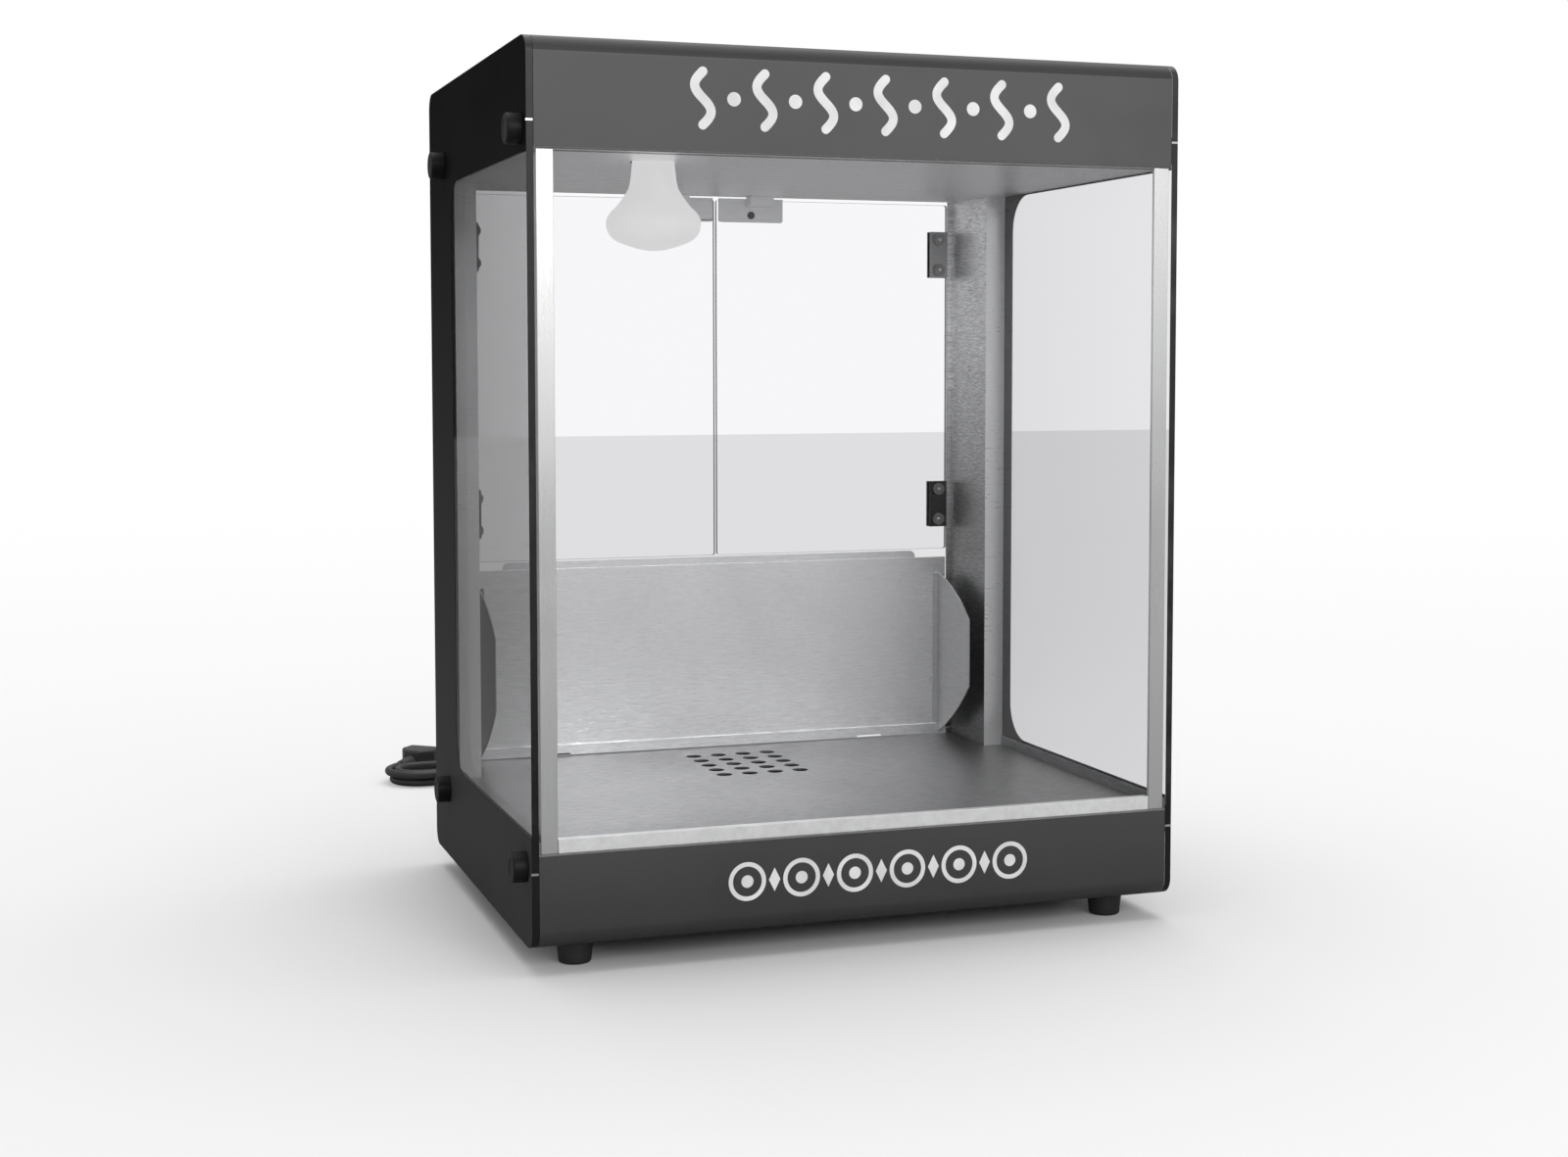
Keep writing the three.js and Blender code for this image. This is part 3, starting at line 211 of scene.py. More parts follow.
# Procedural materials
class Shader:
    """A material and short calls for its nodes."""

    def __init__(self, name, color, roughness, metallic=0.0):
        self.material = bpy.data.materials.new(name)
        self.material.use_nodes = True
        self.tree = self.material.node_tree
        self.surface = self.tree.nodes["Principled BSDF"]
        self.set("Base Color", (*color, 1))
        self.set("Roughness", roughness)
        self.set("Metallic", metallic)
        self.material.diffuse_color = (*color, 1)

    def set(self, socket, value):
        self.surface.inputs[socket].default_value = value

    def node(self, kind, **settings):
        made = self.tree.nodes.new(kind)
        for key, value in settings.items():
            setattr(made, key, value)
        return made

    def link(self, a, b):
        self.tree.links.new(a, b)

    def place(self, scale, turn=(0, 0, 0)):
        where = self.node("ShaderNodeTexCoord")
        mapping = self.node("ShaderNodeMapping")
        mapping.inputs["Scale"].default_value = scale
        mapping.inputs["Rotation"].default_value = turn
        self.link(where.outputs["Object"], mapping.inputs["Vector"])
        return mapping.outputs["Vector"]

    def noise(self, scale, detail=3.0, roughness=0.55, distortion=0.0):
        made = self.node("ShaderNodeTexNoise")
        made.inputs["Scale"].default_value = 1
        made.inputs["Detail"].default_value = detail
        made.inputs["Roughness"].default_value = roughness
        made.inputs["Distortion"].default_value = distortion
        self.link(self.place(scale), made.inputs["Vector"])
        return made.outputs["Fac"]

    def between(self, fac, low, high, start=0.3, stop=0.7):
        made = self.node("ShaderNodeMapRange")
        made.inputs["From Min"].default_value = start
        made.inputs["From Max"].default_value = stop
        made.inputs["To Min"].default_value = low
        made.inputs["To Max"].default_value = high
        self.link(fac, made.inputs["Value"])
        return made.outputs["Result"]

    def math(self, kind, a, b):
        made = self.node("ShaderNodeMath", operation=kind)
        for socket, value in zip(made.inputs, (a, b)):
            if isinstance(value, (int, float)):
                socket.default_value = value
            else:
                self.link(value, socket)
        return made.outputs[0]

    def tint(self, fac, dark, light):
        made = self.node("ShaderNodeMix", data_type="RGBA")
        made.inputs["A"].default_value = (*dark, 1)
        made.inputs["B"].default_value = (*light, 1)
        self.link(fac, made.inputs["Factor"])
        self.link(made.outputs["Result"], self.surface.inputs["Base Color"])
        return made

    def fade(self, color, low, high, start=0.08, stop=0.53):
        """Painted light and shade: darkens or lightens a colour with the height."""
        where = self.node("ShaderNodeSeparateXYZ")
        self.link(self.node("ShaderNodeTexCoord").outputs["Object"], where.inputs[0])
        share = self.between(where.outputs["Z"], low, high, start, stop)
        grey_of = self.node("ShaderNodeCombineColor")
        for socket in grey_of.inputs:
            self.link(share, socket)
        made = self.node("ShaderNodeMix", data_type="RGBA", blend_type="MULTIPLY")
        made.inputs["Factor"].default_value = 1
        self.link(color, made.inputs["A"])
        self.link(grey_of.outputs[0], made.inputs["B"])
        self.link(made.outputs["Result"], self.surface.inputs["Base Color"])

    def relief(self, height, strength, distance):
        made = self.node("ShaderNodeBump")
        made.inputs["Strength"].default_value = strength
        made.inputs["Distance"].default_value = distance
        self.link(height, made.inputs["Height"])
        self.link(made.outputs["Normal"], self.surface.inputs["Normal"])

    def gloss(self, value):
        self.link(value, self.surface.inputs["Roughness"])


def tune(material, **sockets):
    """Sets constants on the sockets of the material's own surface shader."""
    for key, value in sockets.items():
        material.node_tree.nodes["Principled BSDF"].inputs[key.replace("_", " ")].default_value = value


def grey(value, cool=0.0):
    return (value * (1 - cool), value, value * (1 + cool))


def brushed(name, scale, low=0.5, high=0.62, rough=(0.24, 0.4), relief=0.25, metal=1.0, fade=None):
    """Stainless sheet with fine grain: scale is small along the grain and large across it."""
    s = Shader(name, grey((low + high) / 2), 0.3, metal)
    grain = s.noise(scale, 4.0, 0.65)
    fine = s.noise(tuple(3.1 * v for v in scale), 2.0, 0.5)
    smear = s.noise((7, 7, 7), 2.0, 0.5, 0.4)
    both = s.math("ADD", s.math("MULTIPLY", grain, 0.65), s.math("MULTIPLY", fine, 0.35))
    color = s.tint(s.between(both, 0.0, 1.0, 0.33, 0.68), grey(low), grey(high, 0.006))
    if fade:
        s.fade(color.outputs["Result"], *fade)
    shine = s.between(both, rough[1], rough[0], 0.35, 0.65)
    s.gloss(s.math("ADD", shine, s.between(smear, -0.03, 0.05)))
    s.relief(both, relief, 0.00012)
    return s.material


def painted(name, color, rough, peel=0.12, shine=0.5, fade=None):
    """Powder paint: a fine orange peel, faint cloudy gloss and a little dust."""
    s = Shader(name, grey(color), rough, 0.0)
    s.set("Specular IOR Level", shine)
    peel_noise = s.noise((900, 900, 900), 2.0, 0.5)
    cloud = s.noise((9, 9, 9), 3.0, 0.6, 0.3)
    speck = s.noise((2600, 2600, 2600), 1.0, 0.5)
    made = s.tint(s.between(cloud, 0.0, 1.0), grey(color * 0.92), grey(color * 1.08))
    if fade:
        s.fade(made.outputs["Result"], *fade)
    cloudy = s.between(cloud, rough - 0.04, rough + 0.05)
    s.gloss(s.math("ADD", cloudy, s.between(speck, 0.0, 0.05, 0.55, 0.8)))
    s.relief(peel_noise, peel, 0.0001)
    return s.material


def moulded(name, color, rough, grainy=0.2):
    """Moulded plastic or rubber: a matt spark-eroded grain."""
    s = Shader(name, grey(color), rough, 0.0)
    grain = s.noise((1500, 1500, 1500), 3.0, 0.6)
    cloud = s.noise((40, 40, 40), 2.0, 0.5)
    s.tint(s.between(cloud, 0.0, 1.0), grey(color * 0.88), grey(color * 1.12))
    s.gloss(s.between(grain, rough - 0.06, rough + 0.1))
    s.relief(grain, grainy, 0.00015)
    return s.material


def clear(name, tint, gloss_base, facing_share=0.02, cut=None, power=5, fade=None):
    """Clear sheet: light passes straight through, and its gloss grows towards a grazing view.
    cut is the share that a cut edge hides, in place of that."""
    s = Shader(name, grey(gloss_base), 0.03 if cut is None else 0.22, 0.0)
    s.set("IOR", 1.49)
    wipe = s.noise((6, 6, 15), 4.0, 0.6, 0.5)
    s.gloss(s.between(wipe, 0.02, 0.05, 0.5, 0.9) if cut is None else s.between(wipe, 0.16, 0.32))
    if fade:
        s.fade(s.tint(wipe, grey(gloss_base * 0.9), grey(gloss_base * 1.1)).outputs["Result"], *fade)
    through = s.node("ShaderNodeBsdfTransparent")
    through.inputs["Color"].default_value = (*tint, 1)
    if cut is None:
        weight = s.node("ShaderNodeLayerWeight")
        weight.inputs["Blend"].default_value = 0.5
        steep = s.math("POWER", weight.outputs["Facing"], power)
        fac = s.math("ADD", s.math("MULTIPLY", steep, 1 - facing_share), facing_share)
    else:
        fac = s.between(wipe, cut - 0.06, cut + 0.06)
    mix = s.node("ShaderNodeMixShader")
    s.link(fac, mix.inputs[0])
    s.link(through.outputs[0], mix.inputs[1])
    s.link(s.surface.outputs[0], mix.inputs[2])
    s.link(mix.outputs[0], s.tree.nodes["Material Output"].inputs["Surface"])
    return s.material


# Painted light and shade: the hood and the base are one black paint, with a lighter copy for the hood and a
# darker one for the base; the base's copy also grows lighter towards the top
hood_paint = painted("hood_paint", 0.101, 0.4, shine=0.15)
# Painted shade: a darker copy of the hood paint for the rounded top front bend, standing in for the dark
# reflection along it
hood_bend_painted_shade = painted("hood_bend_painted_shade", 0.05, 0.4, shine=0.15)
base_paint = painted("base_paint", 0.043, 0.42, fade=(0.75, 1.1, 0.02, 0.075))
# Painted shade: the black print on the left plate grows darker towards the top
print_black = painted("print_black", 0.055, 0.45, 0.04, 0.2, (1.0, 0.1, 0.05, 0.57))
tune(print_black, IOR=1.08)
print_inner = painted("print_inner", 0.02, 0.12, 0.02)
tune(print_inner, IOR=1.8)
# How fine the grain is along it and across it, as spots per metre
SHORT, ACROSS = 75, 800
steel_flap = brushed("steel_flap", (SHORT, SHORT, 650), 0.7, 0.99, (0.26, 0.42), 0.5, 0.85)
# Painted light: the rear columns' steel grows lighter towards the top, and their front faces take a lighter copy
# of it, for the light that falls on them from the front
steel_column = brushed("steel_column", (95, 95, 900), 0.42, 0.98, (0.26, 0.45), 0.8, 0.85,
                       (0.25, 1.25, 0.15, 0.42))
steel_front = brushed("steel_front", (70, 70, 480), 0.9, 0.99, (0.26, 0.4), 0.2, 0.45,
                      (0.85, 1.0, 0.1, 0.45))
# Painted shade: the two flap cheeks are one steel, and the left cheek takes a darker copy of it
steel_cheek = brushed("steel_cheek", (SHORT, SHORT, ACROSS), 0.54, 0.66, (0.3, 0.42), 0.2, 0.85)
cheek_painted_shade = brushed("cheek_painted_shade", (SHORT, SHORT, ACROSS), 0.2, 0.26, (0.3, 0.42), 0.2)
steel_ceiling = brushed("steel_ceiling", (SHORT, ACROSS, SHORT), 0.84, 0.99, (0.24, 0.4), 0.25, 0.8)
steel_flat = brushed("steel_flat", (SHORT, ACROSS, SHORT), 0.74, 0.9, (0.32, 0.42), 0.04, 0.5)
steel_rail = brushed("steel_rail", (SHORT, SHORT, ACROSS), 0.22, 0.36, metal=0.85)
steel_floor = brushed("steel_floor", (SHORT, ACROSS, SHORT), 0.235, 0.395, (0.32, 0.46), 0.7, 0.88)
# Painted light: the front posts' steel grows lighter towards the top
steel_post = brushed("steel_post", (600, 600, 12), 0.65, 0.67, (0.24, 0.28), 0.0, 0.8,
                     (0.88, 1.38, 0.08, 0.53))
steel_strike = brushed("steel_strike", (SHORT, SHORT, ACROSS), 0.88, 0.98, (0.3, 0.45), 0.2, 0.5)
# Painted light and shade: the inner hinge plates are one steel, with a lighter copy for the upper hinges and a
# darker one for the lower
hinge_upper = brushed("hinge_upper", (60, 60, 1800), 0.4, 0.5, (0.3, 0.42), 0.2)
hinge_lower = brushed("hinge_lower", (60, 60, 1800), 0.06, 0.09, (0.3, 0.42), 0.2)
hinge_outer = brushed("hinge_outer", (60, 60, 1800), 0.16, 0.24, (0.3, 0.42), 0.2)
bright = brushed("turned_steel", (300, 300, 300), 0.6, 0.75, (0.15, 0.25), 0.1)
heater_metal = brushed("heater_steel", (200, 200, 200), 0.2, 0.32, (0.35, 0.5))
cap_black = moulded("cap_black", 0.02, 0.35, 0.1)
# Painted light and shade: the hinge caps are one plastic, pale on the upper hinges and grey on the lower
cap_grey = moulded("cap_grey", 0.16, 0.4, 0.1)
cap_pale = moulded("cap_pale", 0.3, 0.4, 0.1)
screw_dark = moulded("screw_dark", 0.12, 0.4, 0.1)
knob_black = moulded("knob_black", 0.006, 0.45, 0.18)
tune(knob_black, Specular_IOR_Level=0.2)
rubber = moulded("foot_rubber", 0.02, 0.55, 0.3)
cord_rubber = moulded("cord_rubber", 0.022, 0.5, 0.15)
ceramic = moulded("ceramic", 0.72, 0.35, 0.08)
side_clear = clear("side_clear", (0.985, 0.985, 0.99), 0.02, power=4.1)
# Painted shade: the clear plates' cut edges are darkened, most towards the bottom
side_edge = clear("side_edge", (0.7, 0.7, 0.7), 0.06, cut=1.0, fade=(0.2, 0.7, 0.1, 0.58))
tune(side_edge, Specular_IOR_Level=0.15)
pane_clear = clear("pane_clear", (0.995, 0.995, 1.0), 0.02, 0.015)
pane_edge = clear("pane_edge", (0.7, 0.7, 0.7), 0.1, cut=0.85)
bulb_white = moulded("bulb_white", 0.16, 0.7, 0.02)
tune(bulb_white, Emission_Color=(1, 1, 1, 1), Emission_Strength=0.58)
mark_white = moulded("mark_white", 0.8, 0.5, 0.05)


# Mesh makers
def smooth(mesh, angle=32):
    for face in mesh.polygons:
        face.use_smooth = True
    mesh.set_sharp_from_angle(angle=radians(angle))


def bevel(piece, width, segments=2, angle=32):
    made = piece.modifiers.new("edge", "BEVEL")
    made.width = width * MM
    made.segments = segments
    made.limit_method = "ANGLE"
    made.angle_limit = radians(angle)
    made.harden_normals = True
    made.use_clamp_overlap = True


def new_piece(name, mesh, materials, body, stands_for=()):
    piece = bpy.data.objects.new(name, mesh)
    scene.collection.objects.link(piece)
    for m in materials:
        mesh.materials.append(m)
    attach(piece, body)
    if stands_for:
        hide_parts(*stands_for)
    return piece


# Clear sheets are drawn in by this much on each face, in millimetres
SHEET_GAP = 0.05


def redo(node, materials, edge=0.0, choose=None, segments=2, angle=32, thin=None):
    """The node's own form as a new piece, with its flat faces whole, softened edges and smooth rounds.
    thin is the axis of a clear sheet, drawn in a little so that it shares no plane with what it touches."""
    bm = bmesh.new()
    bm.from_mesh(nodes[node].data)
    bmesh.ops.remove_doubles(bm, verts=bm.verts, dist=1e-6)
    bmesh.ops.dissolve_limit(bm, angle_limit=radians(0.5), verts=bm.verts, edges=bm.edges)
    if thin is not None:
        centre = sum(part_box(node), Vector())[thin] / 2
        for vert in bm.verts:
            vert.co[thin] -= SHEET_GAP * MM * (1 if vert.co[thin] > centre else -1)
    mesh = bpy.data.meshes.new(node + "_finish")
    for face in bm.faces:
        if choose:
            face.material_index = int(choose(face.calc_center_median() / MM, face.normal))
    bm.to_mesh(mesh)
    bm.free()
    smooth(mesh, angle)
    if not isinstance(materials, (list, tuple)):
        materials = [materials]
    piece = new_piece(node + "_finish", mesh, materials, body_of_node[node], [node])
    if edge:
        bevel(piece, edge, segments, angle)
    flat = piece.modifiers.new("flat", "WEIGHTED_NORMAL")
    flat.mode = "FACE_AREA"
    flat.weight = 100
    flat.keep_sharp = True
    return piece


def cut_edge(axis):
    """Picks the cut edges of a sheet that is thin along the axis."""
    return lambda centre, normal: abs(normal[axis]) < 0.5


def soften(profile, radius, steps=4):
    """A profile with each inner corner rounded; a corner may name its own radius as a third number."""
    out = [Vector(profile[0][:2])]
    for i in range(1, len(profile) - 1):
        a, b, c = (Vector(profile[k][:2]) for k in (i - 1, i, i + 1))
        r = profile[i][2] if len(profile[i]) > 2 else radius
        u, v = a - b, c - b
        back = min(r, u.length * 0.45, v.length * 0.45)
        if back < 1e-4:
            out.append(b)
            continue
        p, q = b + u.normalized() * back, b + v.normalized() * back
        for k in range(steps + 1):
            t = k / steps
            out.append(p.lerp(b, t).lerp(b.lerp(q, t), t))
    out.append(Vector(profile[-1][:2]))
    return out


class Build:
    """Gathers several closed forms in one mesh, in millimetres."""

    def __init__(self):
        self.verts, self.faces, self.mats = [], [], []

    def take(self, verts, faces, mat=0):
        base = len(self.verts)
        self.verts += [Vector(v) * MM for v in verts]
        self.faces += [tuple(base + k for k in f) for f in faces]
        self.mats += [mat] * len(faces)

    def lathe(self, profile, place=Matrix.Identity(4), sides=48, mat=0):
        """Turns (radius, height) about Z; ends on the axis are closed by one point."""
        verts, faces, rings = [], [], []
        for r, h in profile:
            if r < 1e-5:
                rings.append([len(verts)])
                verts.append(place @ Vector((0, 0, h)))
            else:
                rings.append(list(range(len(verts), len(verts) + sides)))
                verts += [place @ Vector((r * cos(2 * pi * k / sides), r * sin(2 * pi * k / sides), h))
                          for k in range(sides)]
        for low, high in zip(rings, rings[1:]):
            for k in range(sides):
                n = (k + 1) % sides
                if len(low) == 1 and len(high) > 1:
                    faces.append((low[0], high[n], high[k]))
                elif len(high) == 1 and len(low) > 1:
                    faces.append((low[k], low[n], high[0]))
                elif len(low) > 1:
                    faces.append((low[k], low[n], high[n], high[k]))
        self.take(verts, faces, mat)

    def slab(self, outline, place, depth, mat=0):
        """A closed outline in the place's XY plane, thickened along its Z."""
        n = len(outline)
        verts = [place @ Vector((x, y, z)) for z in (0, depth) for x, y in outline]
        faces = [tuple(reversed(range(n))), tuple(range(n, 2 * n))]
        faces += [(k, (k + 1) % n, n + (k + 1) % n, n + k) for k in range(n)]
        self.take(verts, faces, mat)

    def mesh(self, name, angle=32):
        made = bpy.data.meshes.new(name)
        made.from_pydata([tuple(v) for v in self.verts], [], self.faces)
        for face, mat in zip(made.polygons, self.mats):
            face.material_index = mat
        made.validate()
        bm = bmesh.new()
        bm.from_mesh(made)
        bmesh.ops.recalc_face_normals(bm, faces=bm.faces)
        bm.to_mesh(made)
        bm.free()
        smooth(made, angle)
        return made


def middle(node):
    low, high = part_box(node)
    return (low + high) / 2 / MM, (high - low) / MM


def axis_place(point, way):
    """Puts a form's Z axis along way, from point."""
    return Matrix.Translation(point) @ Vector(way).to_track_quat("Z", "Y").to_matrix().to_4x4()


# Sizes that the pieces share with the solids, in millimetres like all sizes below up to the floor
HALF_WIDTH, HALF_DEPTH, PLATE = 230, 174.6, 5
DOOR_FRONT, HINGE_PLATE = 170, 1.5
GLAND_X, GLAND_Z = LEAD_START[0], LEAD_START[2]

# Painted shells, sheets, posts and columns
redo("base_shell", base_paint, 0.5, segments=3)
# The hood's rounded top front bend takes the darker copy of the paint, a painted shade line
redo("hood_shell", [hood_paint, hood_bend_painted_shade], 0.5, lambda c, n: n.y < -0.15 and n.z > 0.15, 3)
redo("floor_tray", steel_floor, 0.15)
# Painted shade: the stainless ceiling's front faces take the black base paint, for the dark line under the hood
# band
redo("ceiling_panel", [steel_ceiling, base_paint], 0.15, lambda c, n: n.y < -0.5)
redo("front_sill", steel_flat, 0.25)
for side, name in ((-1, "left"), (1, "right")):
    redo("side_rail_" + name, steel_rail, 0.2)
    redo("front_post_" + name, steel_post, 0.35)
    # The columns' front faces take the lighter, painted-lit copy of the steel
    redo("rear_column_" + name, [steel_column, steel_front], 0.4, lambda c, n: n.y < -0.5 and c.y < 120)
    redo("side_print_" + name, print_inner if side > 0 else print_black)
    redo("side_glass_" + name, [side_clear, side_edge], 0.35, cut_edge(0), thin=0)
    redo("door_glass_" + name, [pane_clear, pane_edge], 0.3, cut_edge(1), thin=1)
    # The left cheek takes the darker, painted-shade copy of the steel
    redo("flap_cheek_" + name, steel_cheek if side > 0 else cheek_painted_shade, 0.3)
    redo("magnet_catch_" + name, steel_strike, 0.3)
redo("front_glass", [pane_clear, pane_edge], 0.3, cut_edge(1), thin=1)
redo("flap_panel", steel_flap, 0.15)
redo("flap_rod", bright, 0.3)
redo("heating_element", heater_metal, 0.2)
redo("switch_housing", cap_black, 0.4)
redo("switch_rocker", cap_black, 0.4)
redo("cord_tie", cap_black, 0.25)

# Knobs: a turned cap with a shallow dish and a threaded stud
KNOB_RADIUS, DISH_RIM, DISH_RADIUS, DISH_DEPTH, KNOB_GAP = 9.9, 6.6, 6.1, 0.4, 0.05
STUD_LENGTH, STUD_RADIUS, ROOT_RADIUS, THREADS = 15, 2.45, 2.15, 17
CREST_START, ROOT_START, THREAD_PITCH = -14.3, -13.9, 0.8
for node in sorted(n for n in nodes if n.startswith("knob_")):
    low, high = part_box(node)
    side = -1 if "left" in node else 1
    centre = (low + high) / 2 / MM
    build = Build()
    place = axis_place(Vector((side * HALF_WIDTH, centre.y, centre.z)), (side, 0, 0))
    top = (high.x if side > 0 else -low.x) / MM - HALF_WIDTH
    edge = min(1.6, top * 0.35)
    cap = soften([(0, KNOB_GAP), (KNOB_RADIUS, KNOB_GAP), (KNOB_RADIUS, top, edge), (DISH_RIM, top, 0.5),
                  (DISH_RADIUS, top - DISH_DEPTH, 0.4), (0, top - DISH_DEPTH)], 0.3, 5)
    build.lathe(cap, place, 56, 0)
    thread = [(0, -STUD_LENGTH), (2.0, -STUD_LENGTH), (STUD_RADIUS, 0.5 - STUD_LENGTH)]
    for i in range(THREADS):
        thread += [(STUD_RADIUS, CREST_START + THREAD_PITCH * i), (ROOT_RADIUS, ROOT_START + THREAD_PITCH * i)]
    build.lathe(thread + [(2.3, 0.2), (0, 0.2)], place, 24, 1)
    mesh = build.mesh(node + "_finish")
    new_piece(node + "_finish", mesh, [knob_black, bright], "cabinet", [node])

# Painted glints: bright marks on the plates' cut front edges, standing in for the studs seen through the clear
# edge
GLINT_LEFT, GLINT_RIGHT, GLINT_HALF, GLINT_DEPTH = -2.4, 2.2, 0.7, 0.04
GLINT_LIFTS = {"upper": 4.4, "lower": -2}
GLINT = [(GLINT_LEFT, -GLINT_HALF), (GLINT_RIGHT, -GLINT_HALF),
         (GLINT_RIGHT, GLINT_HALF), (GLINT_LEFT, GLINT_HALF)]
build = Build()
for side, name in ((-1, "left"), (1, "right")):
    for level in ("lower", "upper"):
        low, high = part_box("knob_%s_front_%s" % (name, level))
        z = (low.z + high.z) / 2 / MM + GLINT_LIFTS[level]
        x = side * (HALF_WIDTH - PLATE / 2)
        spot = Matrix.Translation((x, -HALF_DEPTH, z)) @ Matrix.Rotation(pi / 2, 4, "X")
        build.slab(GLINT, spot, GLINT_DEPTH)
new_piece("stud_glints", build.mesh("stud_glints"), [bright], "cabinet")

# Feet: tapered rubber with rounded rims and a screw head up in the bore
FOOT_HEIGHT, FOOT_LOW_RADIUS, FOOT_TOP_RADIUS, FOOT_BORE, BORE_DEPTH = 17.0, 10.8, 12.5, 4.4, 6
for node in sorted(n for n in nodes if n.startswith("foot_")):
    centre, _ = middle(node)
    build = Build()
    profile = soften([(0, BORE_DEPTH), (FOOT_BORE, BORE_DEPTH), (FOOT_BORE, 0.0, 0.6),
                      (FOOT_LOW_RADIUS, 0.0, 1.2), (FOOT_TOP_RADIUS, FOOT_HEIGHT, 0.6), (0, FOOT_HEIGHT)], 0.3, 4)
    spot = Matrix.Translation((centre.x, centre.y, 0))
    build.lathe(profile, spot, 48, 0)
    build.lathe(soften([(0, 6.1), (3.6, 6.1), (3.6, 4.2), (0, 4.2)], 0.3), spot, 24, 1)
    mesh = build.mesh(node + "_finish")
    new_piece(node + "_finish", mesh, [rubber, bright], "cabinet", [node])

# Lamp: a smooth reflector bulb with its neck and cap
LAMP_X, LAMP_Y, CEILING = -127.6, -104, 528.2
# Shares of the radius and of the drop; the first lies across the axis, so that the tip is round
BULB_SHARES = [(-0.26, 0.014), (0, 0), (0.26, 0.014), (0.57, 0.063), (0.745, 0.1), (0.85, 0.134),
               (0.95, 0.2), (0.992, 0.268), (1, 0.31), (0.985, 0.36), (0.905, 0.432), (0.785, 0.498),
               (0.683, 0.565), (0.6, 0.632), (0.528, 0.698), (0.484, 0.794), (0.466, 0.88)]
BULB_DROP, BULB_RADIUS, NECK_RADIUS = 59.2, 32, 14.2
NECK_SHOULDER, NECK_TOP, NECK_TOP_RADIUS = 16.9, 17.8, 13
SCREW_BASE, SCREW_START, SCREW_TOP, SCREW_STEPS = 17.9, 18, 42.5, 21
SCREW_RADIUS, SCREW_GROOVE, SCREW_RISE, TIP_RADIUS = 12.9, 0.5, 1.1, 6.5
low = CEILING - BULB_DROP
face = [(r * BULB_RADIUS, low + z * BULB_DROP) for r, z in BULB_SHARES] + [(NECK_RADIUS, CEILING)]
face = [(max(p.x, 0), p.y) for p in smooth_line([(*p, 0) for p in face], 2.5) if p.x > -1e-6]
neck = [(NECK_RADIUS, CEILING + NECK_SHOULDER), (NECK_TOP_RADIUS, CEILING + NECK_TOP)]
screw = [(SCREW_RADIUS - SCREW_GROOVE * (k % 2), CEILING + SCREW_START + SCREW_RISE * k)
         for k in range(SCREW_STEPS)]
build = Build()
spot = Matrix.Translation((LAMP_X, LAMP_Y, 0))
build.lathe(face + neck + [(0, CEILING + NECK_TOP)], spot, 72, 0)
tip = [(TIP_RADIUS, CEILING + SCREW_TOP), (0, CEILING + SCREW_TOP)]
build.lathe([(0, CEILING + SCREW_BASE)] + screw + tip, spot, 48, 1)
mesh = build.mesh("lamp_bulb_finish", 40)
new_piece("lamp_bulb_finish", mesh, [bulb_white, bright], "cabinet", ["lamp_bulb"])
redo("lamp_holder", ceramic, 0.5, segments=3)


# Hinges and strikes: plates, and caps with a bright centre
HINGE_LEFT_X, CAP_INSET, CAP_FRONT = -196.9, 6.4, 3.6


def on_caps(centre, normal):
    """Picks the faces that stand in front of the plates."""
    return centre.y < DOOR_FRONT - HINGE_PLATE - 0.01


for node in sorted(n for n in nodes if n.startswith("hinge_")):
    inner_plate = "inner_plate" in node
    upper = "upper" in node
    # Upper hinges take the painted-lit copies of plate and cap, lower hinges the painted-shade copies
    plate_steel = (hinge_upper if upper else hinge_lower) if inner_plate else hinge_outer
    redo(node, [plate_steel, cap_pale if upper else cap_grey], 0.25, on_caps if inner_plate else None)
    if inner_plate:
        c, size = middle(node)
        x = c.x if c.x > 0 else HINGE_LEFT_X
        build = Build()
        for z in (c.z + size.z / 2 - CAP_INSET, c.z - size.z / 2 + CAP_INSET):
            place = axis_place(Vector((x, DOOR_FRONT - CAP_FRONT, z)), (0, -1, 0))
            build.lathe(soften([(0, 0), (1.5, 0), (1.5, 0.35), (0, 0.5)], 0.2), place, 24, 0)
        new_piece(node + "_centres", build.mesh(node + "_centres"), [bright], body_of_node[node])
for name in ("left", "right"):
    redo("strike_plate_" + name, [steel_strike, screw_dark], 0.25, on_caps)

# Strain relief with ribs, and the plug
GLAND_RIBS, RIB_PITCH, RIB_START, COLLAR, COLLAR_RADIUS = 7, 3.9, 6, 4, 7.4
GLAND_END, GLAND_END_RADIUS = 35, 4.5
gland = [(0, -7), (7.3, -7), (7.3, -1.9), (5.9, -1.9), (5.9, 0), (9.4, 0, 0.3), (9.4, COLLAR, 1.0),
         (COLLAR_RADIUS, COLLAR, 0.3)]
for k in range(GLAND_RIBS):
    start = RIB_START + RIB_PITCH * k
    r = COLLAR_RADIUS - (COLLAR_RADIUS - GLAND_END_RADIUS) * (start - COLLAR) / (GLAND_END - COLLAR)
    gland += [(r, start), (r - 0.9, start + 0.4), (r - 1.0, start + 1.5), (r - 0.2, start + 1.9)]
gland += [(GLAND_END_RADIUS, GLAND_END, 0.4), (0, GLAND_END)]
build = Build()
build.lathe(soften(gland, 0.2, 3), axis_place(Vector((GLAND_X, HALF_DEPTH, GLAND_Z)), (0, 1, 0)), 40, 0)
mesh = build.mesh("cord_gland_finish")
new_piece("cord_gland_finish", mesh, [cord_rubber], "cabinet", ["cord_gland"])
plug_turn = Matrix.Rotation(-TAIL_ANGLE, 4, "Z") @ Matrix.Translation([-v / MM for v in route[-1]])
PLUG_BODY = 51.2
plug = redo("plug", [cord_rubber, bright], 0.5, lambda c, n: (plug_turn @ c).x > PLUG_BODY, 3)


